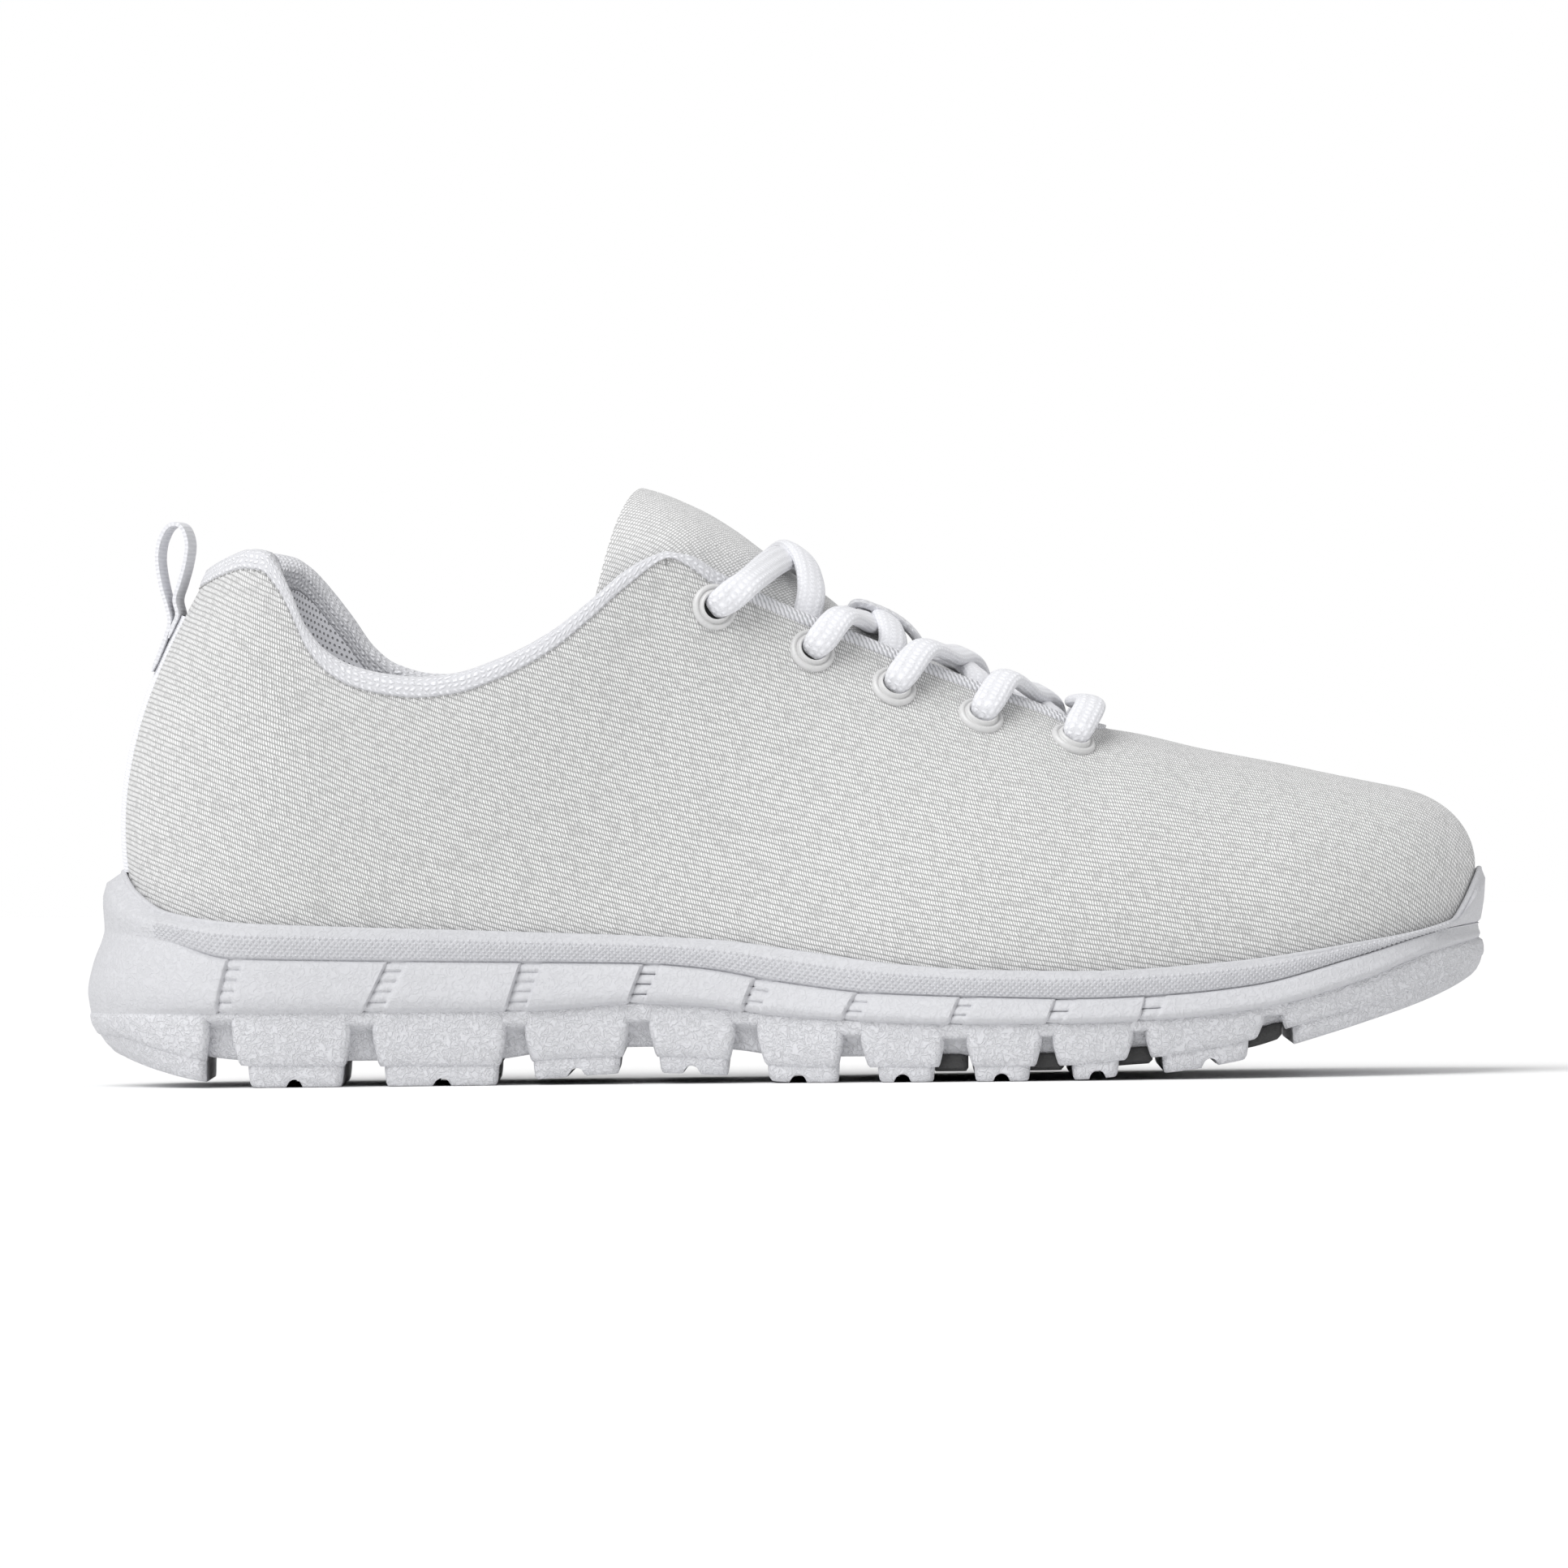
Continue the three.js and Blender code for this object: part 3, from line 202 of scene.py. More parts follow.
TONGUE_CREST = along_chart([
    (-45, 127.5), (-28.7, 124.6), (-17.6, 120.2), (-10.3, 115.8), (-5, 111.8), (2, 106.4),
    (9, 101.6), (14, 97.4), (20, 92.8), (30, 88.4), (38, 84.4), (48, 79.8), (57, 74),
    (63, 69.8), (67, 67.4), (76, 64)], UPWARD)
TOPLINE_X = chart([
    (UPPER_HEEL, TOPLINE_BACK), (-128 * ALONG, -114 * ALONG), (-110 * ALONG, -101.5 * ALONG),
    (-90 * ALONG, -86.5 * ALONG), (-70 * ALONG, -69.5 * ALONG), (-60 * ALONG, -60 * ALONG)])


# ---- Meshes -------------------------------------------------------------------------------

def grid_corners(rows, columns, wrap_rows=False, wrap_columns=False):
    """Corner rows and columns of every quad, four each, not yet wrapped round."""
    i, j = np.meshgrid(np.arange(rows - (not wrap_rows)), np.arange(columns - (not wrap_columns)),
                       indexing="ij")
    i, j = i.ravel(), j.ravel()
    return np.stack([i, i, i + 1, i + 1], 1), np.stack([j, j + 1, j + 1, j], 1)


class Surface:
    """Points and faces gathered from grids, then made into one object."""

    def __init__(self):
        self.points, self.faces, self.uvs, self.kinds, self.count = [], [], [], [], 0

    def add_grid(self, points, uv=None, wrap_rows=False, wrap_columns=False, kind=0,
                 keep=None, flip=False):
        """A grid of rows by columns; uv has one more column or row where the grid wraps."""
        rows, columns = points.shape[:2]
        i, j = grid_corners(rows, columns, wrap_rows, wrap_columns)
        if keep is not None:
            chosen = keep(i[:, 0], j[:, 0])
            i, j = i[chosen], j[chosen]
        faces = (i % rows) * columns + (j % columns) + self.count
        corner_uv = np.zeros(faces.shape + (2,)) if uv is None else uv[i, j]
        if flip:
            faces, corner_uv = faces[:, ::-1], corner_uv[:, ::-1]
        kinds = kind(i[:, 0], j[:, 0]) if callable(kind) else np.full(len(faces), kind)
        self.points.append(points.reshape(-1, 3))
        self.faces.append(faces)
        self.uvs.append(corner_uv)
        self.kinds.append(kinds)
        self.count += rows * columns

    def add_copies(self, points, faces):
        """Many copies of one small shape: points are copies by corners by 3."""
        copies, corners = points.shape[:2]
        start = self.count + np.arange(copies)[:, None, None] * corners
        every = (faces[None] + start).reshape(-1, faces.shape[1])
        self.points.append(points.reshape(-1, 3))
        self.faces.append(every)
        self.uvs.append(np.zeros(every.shape + (2,)))
        self.kinds.append(np.zeros(len(every), int))
        self.count += copies * corners

    def make(self, name, materials, weld=True, sharp=None):
        """The finished object, its doubled points merged and its faces smooth."""
        mesh = bpy.data.meshes.new(name)
        points = place(np.concatenate(self.points))
        sizes = np.concatenate([np.full(len(f), f.shape[1]) for f in self.faces])
        corners = np.concatenate([f.ravel() for f in self.faces])
        mesh.vertices.add(len(points))
        mesh.vertices.foreach_set("co", points.astype(np.float32).ravel())
        mesh.loops.add(len(corners))
        mesh.loops.foreach_set("vertex_index", corners.astype(np.int32))
        mesh.polygons.add(len(sizes))
        starts = np.concatenate([[0], np.cumsum(sizes)[:-1]])
        mesh.polygons.foreach_set("loop_start", starts.astype(np.int32))
        mesh.polygons.foreach_set("material_index", np.concatenate(self.kinds).astype(np.int32))
        mesh.update(calc_edges=True)
        uv = mesh.uv_layers.new(name="Cloth")
        corner_uvs = np.concatenate([u.reshape(-1, 2) for u in self.uvs])
        uv.data.foreach_set("uv", corner_uvs.astype(np.float32).ravel())
        if weld:
            shell = bmesh.new()
            shell.from_mesh(mesh)
            bmesh.ops.remove_doubles(shell, verts=shell.verts, dist=WELD_DISTANCE)
            shell.to_mesh(mesh)
            shell.free()
        mesh.polygons.foreach_set("use_smooth", np.ones(len(mesh.polygons), bool))
        for material in materials:
            mesh.materials.append(material)
        if sharp is not None:
            mesh.set_sharp_from_angle(angle=math.radians(sharp))
        piece = bpy.data.objects.new(name, mesh)
        bpy.context.scene.collection.objects.link(piece)
        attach(piece, "root")
        return piece


# ---- Outline of the shoe ------------------------------------------------------------------

def angle_at(x, side, heel=HEEL, toe=TOE):
    """Outline angle of the point at x: 0 at the heel, pi at the toe, past pi on the inner side."""
    share = np.clip((np.asarray(x, float) - heel) / (toe - heel), 0.0, 1.0)
    half_turn = np.arccos(1.0 - 2.0 * share)
    return np.where(np.asarray(side) < 0, half_turn, 2.0 * math.pi - half_turn)


def outline_point(angle, heel, toe, inset):
    """The plan of the shoe: x by the cosine of the angle, y by the half width and round ends."""
    share = (1.0 - np.cos(angle)) / 2.0
    side = np.where(np.mod(angle, 2.0 * math.pi) <= math.pi, -1.0, 1.0)
    sole_x = lerp(HEEL, TOE, share)
    ends = (round_end((sole_x - HEEL) / ALONG, 42.0, 2.2)
            * round_end((TOE - sole_x) / ALONG, 58.0, 2.6))
    half = np.where(side < 0, OUTER_HALF(sole_x), INNER_HALF(sole_x)) - inset
    return lerp(heel, toe, share), SPINE(sole_x) + side * half * ends


def outline(angle, heel=HEEL, toe=TOE, inset=0.0):
    """Plan point and outward direction, from the difference of two near points."""
    step = 2e-3
    x, y = outline_point(angle, heel, toe, inset)
    x0, y0 = outline_point(angle - step, heel, toe, inset)
    x1, y1 = outline_point(angle + step, heel, toe, inset)
    length = np.hypot(x1 - x0, y1 - y0)
    return x, y, (y1 - y0) / length, -(x1 - x0) / length


def facing(nx, side, heel, toe):
    """A side value, turning into the heel's or the toe's by the square of the x direction."""
    return side + (np.where(nx < 0, heel, toe) - side) * nx * nx


# ---- Upper ----------------------------------------------------------------------------------

def topline(x, side):
    """Height of the top edge on either side."""
    return np.where(np.asarray(side) < 0, OUTER_TOPLINE(x), INNER_TOPLINE(x))


def top_edge(foot_x, side):
    """Top end of a rib: on the collar, the throat edge or the vamp's ridge."""
    x = np.where(foot_x < -60 * ALONG, TOPLINE_X(foot_x), foot_x)
    back = round_end((x - TOPLINE_BACK) / ALONG, 26.0, 2.0)
    base = round_end((THROAT_BASE - x) / ALONG, THROAT_ROUND, 2.0)
    y = SPINE(x) + side * HALF_OPENING(x) * back * base
    tip = LIP(UPPER_TOE) + 0.5
    rise = round_end((UPPER_TOE - x) / ALONG, 20.0, 2.9)
    z = np.where(x < THROAT_BASE, topline(x, side), lerp(tip, VAMP_RIDGE(x), rise))
    return np.stack([x, y, z], -1)


def ribs(angle):
    """Four Bezier points of the rib over each outline angle: an ellipse's arc from the feather
    line, upright there, to the top edge at its lean; the flare pushes its lower handle out."""
    angle = np.asarray(angle, float)
    side = np.where(np.mod(angle, 2.0 * math.pi) <= math.pi, -1.0, 1.0)
    x, y, nx, ny = outline(angle, UPPER_HEEL, UPPER_TOE, FEATHER)
    foot = np.stack([x, y, LIP(x)], -1)
    top = top_edge(x, side)
    height = top[..., 2] - foot[..., 2]
    throat = round_end((THROAT_BASE - top[..., 0]) / ALONG, THROAT_ROUND, 2.0)
    lean = TOPLINE_LEAN(top[..., 0]) * throat
    turn = round_end((x - UPPER_HEEL) / ALONG, 46.0, 2.0)
    out = np.stack([-np.sqrt(1.0 - turn * turn), side * turn, np.zeros_like(turn)], -1)
    span = np.hypot(top[..., 0] - foot[..., 0], top[..., 1] - foot[..., 1])
    ratio = span / height * np.tan(lean)
    steepest = 0.6
    arc_cosine = steepest * np.tanh(ratio / (1.0 + ratio * ratio) / steepest)
    arc = np.arccos(arc_cosine)
    wide = span / (1.0 - arc_cosine)
    tall = height / np.sin(arc)
    handle = 4.0 / 3.0 * np.tan(arc / 4.0)
    flare = FLARE(x) * np.minimum(1.0, height / 20.0)
    lower = foot + np.stack([nx * flare, ny * flare, handle * tall], -1)
    reach = handle * np.hypot(wide * np.sin(arc), tall * np.cos(arc))
    upper = top + out * (reach * np.cos(lean))[..., None]
    upper[..., 2] -= reach * np.sin(lean)
    return foot, lower, upper, top


def on_rib(points, t):
    """Cubic Bezier value at t."""
    a, b, c, d = points
    t = np.asarray(t, float)[..., None]
    s = 1.0 - t
    return s ** 3 * a + 3.0 * s * s * t * b + 3.0 * s * t * t * c + t ** 3 * d


def rib_speed(points, t):
    """Cubic Bezier derivative at t."""
    a, b, c, d = points
    t = np.asarray(t, float)[..., None]
    s = 1.0 - t
    return 3.0 * (s * s * (b - a) + 2.0 * s * t * (c - b) + t * t * (d - c))


def unit(vectors):
    """Vectors scaled to length 1."""
    return vectors / np.maximum(np.linalg.norm(vectors, axis=-1, keepdims=True), 1e-12)


def upper_frame(angle, t):
    """Point and outward normal of the upper's outer face, the normal from two near ribs."""
    angle, t = np.broadcast_arrays(np.asarray(angle, float), np.asarray(t, float))
    step = 2e-3
    here = ribs(angle)
    before, after = on_rib(ribs(angle - step), t), on_rib(ribs(angle + step), t)
    normal = unit(np.cross(after - before, rib_speed(here, t)))
    return on_rib(here, t), normal


def wall_at(foot_x, t):
    """Wall thickness: the knit's, plus the collar's padding towards the top edge."""
    x = np.where(foot_x < -60 * ALONG, TOPLINE_X(foot_x), foot_x)
    return WALL + PADDING(x) * smooth(t, 0.25, 0.9)


def below_edge(angle, distance):
    """Rib parameter that lies a distance below the top edge, by repeated proportion."""
    here = ribs(angle)
    gap = 1.0 - distance / np.linalg.norm(rib_speed(here, np.ones_like(angle)), axis=-1)
    for _ in range(3):
        found = np.linalg.norm(on_rib(here, gap) - here[3], axis=-1)
        gap = 1.0 - (1.0 - gap) * distance / np.maximum(found, 1e-6)
    return gap


UPRIGHT = np.array([0.0, 0.0, 1.0])
UPPER_STEPS = 330
RIB_STEPS = 60
RIM_LIFT = 0.24
ROW_FALL = along_chart([
    (-140, 0.42), (-100, 0.4), (-60, 0.32), (-20, 0.27), (20, 0.23), (60, 0.18), (90, 0.18),
    (110, 0.3), (122, 0.48), (132, 0.8), (146, 1.6)], 1.0)


def knit_uv(angles, lengths):
    """Cloth position in millimetres, the same on both sides: u runs along the foot and v up the
    rib, laid so that the rows fall gently forwards and steeply over the toe."""
    x, y, _, _ = outline(angles, UPPER_HEEL, UPPER_TOE, FEATHER)
    half = len(angles) // 2
    x, y = x[:half + 1], y[:half + 1]
    dx, dy = np.diff(x), np.diff(y)
    wrap_share = 1.0 - smooth(x[:-1], 60.0, 120.0)
    u = np.concatenate([[0.0], np.cumsum(np.sqrt(dx * dx + wrap_share * dy * dy))])
    base = np.concatenate([[0.0], np.cumsum(np.diff(LIP(x)) + ROW_FALL(x[:-1]) * dx)])
    u, base = np.concatenate([u, u[-2::-1]]), np.concatenate([base, base[-2::-1]])
    return np.stack(np.broadcast_arrays(u, lengths + base), -1)


def upper_grid():
    """Outer face and lining: rows up each rib, columns round the outline."""
    angles = np.linspace(0.0, 2.0 * math.pi, 2 * UPPER_STEPS + 1)[:-1]
    t = np.linspace(0.0, 1.0, RIB_STEPS + 1)
    angle, t = np.meshgrid(angles, t)
    points, normals = upper_frame(angle, t)
    x, _, nx, ny = outline(angle, UPPER_HEEL, UPPER_TOE, FEATHER)
    flat = np.stack([nx, ny, np.zeros_like(nx)], -1)
    low = 1.0 - smooth(t, 0.0, 0.04)
    normals = unit(lerp(normals, flat, low[..., None]))
    mirror = (-np.arange(len(angles))) % len(angles)
    vamp = x[-1] > THROAT_BASE - 0.5
    shared = unit(normals[-1] + normals[-1][mirror])
    normals[-1] = np.where(vamp[:, None], shared, normals[-1])
    normals[:, UPPER_STEPS] = flat[:, UPPER_STEPS]
    return angles, x, t, points, normals


def build_upper():
    """The knit upper as one closed shell: outer face, padded rim, lining and base hem."""
    angles, x, t, points, normals = upper_grid()
    foot_x = x[0]
    base_z = FOOTBED(foot_x) - RECESS + CLEARANCE
    outer_base = points[0].copy()
    outer_base[:, 2] = base_z
    lining = points - normals * wall_at(x, t)[..., None]
    lining_base = lining[0].copy()
    lining_base[:, 2] = base_z
    edge, inside = points[-1], lining[-1]
    rim_width = np.linalg.norm(edge - inside, axis=-1)
    swings = np.linspace(0.0, math.pi, 7)[1:-1]
    rim = [lerp(edge, inside, (1 - math.cos(a)) / 2)
           + UPRIGHT * (RIM_LIFT * rim_width * math.sin(a))[:, None] for a in swings]
    loop = np.concatenate([outer_base[None], points, np.stack(rim), lining[::-1], lining_base[None]])
    steps = np.linalg.norm(np.diff(points, axis=0), axis=-1)
    lengths = np.concatenate([np.zeros((1, len(angles))), np.cumsum(steps, 0)])
    lengths = np.hstack([lengths, lengths[:, :1]])
    uv_face = knit_uv(np.append(angles, 2 * math.pi), lengths)
    uv = np.concatenate([uv_face[:1] - [0, 5.0], uv_face, np.repeat(uv_face[-1:], len(rim), 0),
                         uv_face[::-1], uv_face[:1]], 0)
    uv = np.concatenate([uv, uv[:1]], 0)
    outer_rows = 1 + len(points)
    rim_rows = outer_rows + len(rim)
    vamp = foot_x > THROAT_BASE - 1e-6

    def keep(i, j):
        closed = vamp[j % len(angles)] | vamp[(j + 1) % len(angles)]
        return ~(closed & (i >= outer_rows - 1) & (i < rim_rows))

    surface = Surface()
    surface.add_grid(loop, uv, wrap_rows=True, wrap_columns=True, keep=keep,
                     kind=lambda i, _: np.where(i < outer_rows - 1, 0, 1))
    piece = surface.make("upper_knit", [finish("knit"), finish("lining")])
    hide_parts("upper")
    return piece


# ---- Edges of the upper -----------------------------------------------------------------------

def edge_roll(angles, outside, inside, proud, ripple=None, rim_lift=RIM_LIFT):
    """A roll over the top edge: it starts outside on the face, goes over the rim and down the
    lining, proud of both, and closes through the wall. Rows run round its section; a ripple
    gives the extra height along the edge at a share of the way down."""
    down = np.linspace(1.0, 0.0, 7)
    points = []
    x, _, _, _ = outline(angles, UPPER_HEEL, UPPER_TOE, FEATHER)
    for share in down:
        t = below_edge(angles, np.full_like(angles, max(outside * share, 0.05)))
        p, n = upper_frame(angles, t)
        lift = proud * math.sqrt(max(0.0, 1.0 - share ** 3))
        if ripple is not None:
            lift = lift + ripple(share) * (1 - share ** 4)
        points.append(p + n * np.asarray(lift).reshape(-1, 1) if np.ndim(lift) else p + n * lift)
    edge_t = below_edge(angles, np.full_like(angles, 0.05))
    edge, n = upper_frame(angles, edge_t)
    inner = edge - n * wall_at(x, edge_t)[:, None]
    width = np.linalg.norm(edge - inner, axis=-1)
    over = edge + n * proud
    under = inner - n * proud * 0.6
    for a in np.linspace(0.0, math.pi, 9)[1:-1]:
        rise = (rim_lift * width + proud) * math.sin(a)
        points.append(lerp(over, under, (1 - math.cos(a)) / 2) + UPRIGHT * rise[:, None])
    for share in down[::-1]:
        t = below_edge(angles, np.full_like(angles, max(inside * share, 0.05)))
        p, n = upper_frame(angles, t)
        thick = wall_at(x, t) + proud * 0.6 * math.sqrt(max(0.0, 1.0 - share ** 3))
        points.append(p - n * thick[:, None])
    return np.stack(points)


def add_roll(surface, loops):
    """A closed section carried along the edge, with its two ends drawn in and closed."""
    middle = loops.mean(0, keepdims=True)
    ends = [lerp(middle, loops, s) for s in (0.0, 0.55, 0.85)]
    grid = np.concatenate([e[:, :1] for e in ends] + [loops[:, 1:-1]]
                          + [e[:, -1:] for e in ends[::-1]], 1)
    girth = np.linalg.norm(np.diff(grid, axis=0), axis=-1)
    v = np.concatenate([np.zeros((1, grid.shape[1])), np.cumsum(girth, 0)])
    run = np.linalg.norm(np.diff(grid[4], axis=0), axis=-1)
    u = np.concatenate([[0.0], np.cumsum(run)])
    uv = np.stack([np.broadcast_to(u, v.shape), v], -1)
    uv = np.concatenate([uv, uv[-1:] + [0, 2.0]], 0)
    surface.add_grid(grid, uv, wrap_rows=True)


def edge_angles(front_x, steps):
    """Outline angles from front_x on the outer side, back round the heel, to the inner side."""
    start = float(angle_at(front_x, -1, UPPER_HEEL, UPPER_TOE))
    return np.linspace(start, -start, steps)


def build_collar_binding():
    """Knit binding rolled over the collar, ending under the lace at each side of the throat."""
    angles = edge_angles(-10.0 * ALONG, 420)
    surface = Surface()
    add_roll(surface, edge_roll(angles, outside=2.9, inside=4.5, proud=0.55)[:, ::-1])
    piece = surface.make("collar_binding", [finish("binding")])
    return piece


def build_throat_edging():
    """Ribbed edging along both throat edges: the ribs slant across it like a cord's strands."""
    surface = Surface()
    for side in (-1, 1):
        x = THROAT_BASE - (THROAT_BASE + 9.0 * ALONG) * np.linspace(1.0, 0.012, 330) ** 1.5
        angles = angle_at(x, side, UPPER_HEEL, UPPER_TOE)

        def ripple(share, along=x):
            return 0.12 * np.sin(2 * math.pi * (along / 1.2 + 1.2 * share))

        loops = edge_roll(angles, outside=2.5, inside=1.2, proud=0.5, ripple=ripple, rim_lift=0.2)
        add_roll(surface, loops if side < 0 else loops[:, ::-1])
    piece = surface.make("throat_edging", [finish("edging")])
    return piece


SPINDLE = np.array([[-0.5, 0, 0], [0, 0.5, 0], [0, 0, 0.5], [0, -0.5, 0], [0, 0, -0.5], [0.5, 0, 0]])
SPINDLE_FACES = np.array([[0, 1, 2], [0, 2, 3], [0, 3, 4], [0, 4, 1], [5, 2, 1], [5, 3, 2],
                          [5, 4, 3], [5, 1, 4]])


def add_stitches(surface, centres, along, normals, length, width):
    """Spindles laid along a line, one to a stitch."""
    along, normals = unit(along), unit(normals)
    across = np.cross(normals, along)
    axes = np.stack([along * length, across * width, normals * width], 1)
    surface.add_copies(centres[:, None] + np.einsum("kc,ncd->nkd", SPINDLE, axes), SPINDLE_FACES)


def build_collar_stitches():
    """A line of sunk thread just below the collar's binding."""
    angles = edge_angles(-6.0 * ALONG, 4000)
    t = below_edge(angles, np.full_like(angles, 3.05))
    points, normals = upper_frame(angles, t)
    run = np.concatenate([[0.0], np.cumsum(np.linalg.norm(np.diff(points, axis=0), axis=-1))])
    pitch = 1.55
    at = np.arange(0.0, run[-1], pitch)
    pick = np.searchsorted(run, at).clip(1, len(run) - 2)
    surface = Surface()
    add_stitches(surface, points[pick] + normals[pick] * 0.12, points[pick + 1] - points[pick - 1],
                 normals[pick], 1.2, 0.42)
    piece = surface.make("collar_stitches", [finish("thread")], weld=False)
    return piece


def build_heel_strip():
    """Webbing strip sewn down the back seam from the pull loop to the sole: the wall's own
    surface raised by a rounded edge profile."""
    t, across = np.meshgrid(np.linspace(0.0, 0.8, 70), np.linspace(-1.0, 1.0, 21), indexing="ij")
    half = 4.2
    feather_step = 0.05
    _, y, _, _ = outline(np.array([feather_step]), UPPER_HEEL, UPPER_TOE, FEATHER)
    angle_half = feather_step * half / abs(float(y[0] - SPINE(UPPER_HEEL)))
    points, normals = upper_frame(-across * angle_half, t)
    face = points + normals * (0.75 * (1 - across[..., None] ** 8) + 0.05)
    back = points - normals * 0.4
    surface = Surface()
    loop = np.concatenate([face, back[:, ::-1]], 1).transpose(1, 0, 2)
    uv_u = np.linspace(0, 80, loop.shape[1])[None].repeat(loop.shape[0] + 1, 0)
    uv_v = np.linspace(-half, 3 * half, loop.shape[0] + 1)[:, None].repeat(loop.shape[1], 1)
    surface.add_grid(loop, np.stack([uv_u, uv_v], -1), wrap_rows=True, flip=True)
    piece = surface.make("heel_strip", [finish("webbing")])
    return piece


# ---- Sole -----------------------------------------------------------------------------------

# Ribbed slots between the side panels: rear and front edge at the band, then at the tread line.
SLOTS = [
    (-117.4, -113.9, -119.5, -116.4), (-83.5, -79.3, -88.8, -84.6), (-55.7, -51.0, -59.1, -55.0),
    (-30.5, -26.8, -33.6, -30.2), (-7.6, -3.4, -9.9, -6.4), (13.4, 17.2, 10.7, 14.1),
    (35.1, 38.9, 32.9, 35.8), (55.3, 59.9, 53.1, 56.2), (74.3, 78.9, 72.4, 76.1)]
SLOT_TOPS = [HEEL, -140.0] + [x for s in SLOTS for x in s[:2]] + [120.0, TOE]
SLOT_BOTTOMS = [HEEL, -140.0] + [x for s in SLOTS for x in s[2:]] + [119.0, TOE]
SIDE_OUT = chart([(0, -1.3), (0.1, -0.5), (0.25, -0.1), (0.6, -0.9), (0.9, -1.9), (1, -2.6),
                  (1.5, -2.3), (1.78, -2.7)])
HEEL_OUT = chart([(0, -0.6), (0.1, -0.3), (0.25, 0), (0.6, -1.2), (0.9, -3.2), (1, -3.6),
                  (1.5, -3.3), (1.78, -4.2)])
TOE_OUT = chart([(0, -1.6), (0.1, -1.4), (0.25, -1.2), (0.6, -1.5), (0.9, -1.6), (1, -1.2),
                 (1.5, -0.2), (1.78, 0)])


def sole_wall(angle, t, proud=0.0):
    """Side wall of the foam: t runs from 0 on the tread line over 1 on the band line to 1.78
    under the lip, with an outset charted for side, heel and toe."""
    x, y, nx, ny = outline(angle)
    outset = facing(nx, SIDE_OUT(t), HEEL_OUT(t), TOE_OUT(t)) + proud
    px, py = x + nx * outset, y + ny * outset
    band = BAND(x)
    lip = LIP(outline(angle, UPPER_HEEL, UPPER_TOE, FEATHER)[0])
    z = np.where(t <= 1.0, lerp(TREAD(px) + CLEARANCE / 2, band, np.minimum(t, 1.0)),
                 lerp(band, lip, np.maximum(t - 1.0, 0.0)))
    return np.stack([px, py, z], -1)


def panel_relief(x, t, height):
    """Height of the panels and of the ribs in the slots between them, in millimetres."""
    relief = np.zeros(np.broadcast(x, t).shape)
    edge = 0.3
    slot = np.zeros_like(relief)
    for top_back, top_front, _, _ in SLOTS:
        slot = np.maximum(slot, smooth(x, top_back * ALONG - edge, top_back * ALONG + edge)
                          * (1 - smooth(x, top_front * ALONG - edge, top_front * ALONG + edge)))
    stand = 0.42 + 0.45 * smooth(x, -68 * ALONG, -56 * ALONG) * (1 - smooth(x, -14 * ALONG, -2 * ALONG))
    panel = 2.0 * stand * smooth(t, 0.02, 0.1) * (1 - smooth(t, 0.95, 1.0))
    first, last = -137.0 * ALONG, 137.0 * ALONG
    run = smooth(x, first, -119.0 * ALONG) * (1 - smooth(x + 6.0 * (1 - t) ** 2, last - 1.0, last + 1.0))
    rib_count = np.maximum(2.0, np.round(height / 2.15))
    ribs_up = np.abs(np.sin(math.pi * np.clip(t, 0, 1) * rib_count)) ** 0.35
    rear = np.zeros_like(relief)
    for top_back, _, _, _ in SLOTS:
        rear = np.maximum(rear, np.exp(-((x - top_back * ALONG - 0.45) / 0.45) ** 2))
    rib = (-1.1 + 1.05 * ribs_up - 0.6 * rear) * smooth(t, 0.0, 0.03) * (1 - smooth(t, 0.98, 1.0))
    return run * (0.5 * panel * (1 - slot) + slot * rib)


def wall_stations():
    """Positions along the shoe at the band line: close at slot edges, the heel and the toe."""
    near = np.array([-0.9, -0.32, 0.0, 0.32, 0.9])
    edges = np.array([x for s in SLOTS for x in s[:2]] + [-140.0, 137.0]) * ALONG
    marks = (edges[:, None] + near).ravel()
    share = (1 - np.cos(np.linspace(0, math.pi, 190))) / 2
    spread = lerp(HEEL, TOE, share)
    x = np.unique(np.concatenate([spread, marks]))
    keep = np.concatenate([[True], np.diff(x) > 0.12])
    x = x[keep]
    x[-1] = TOE
    return x


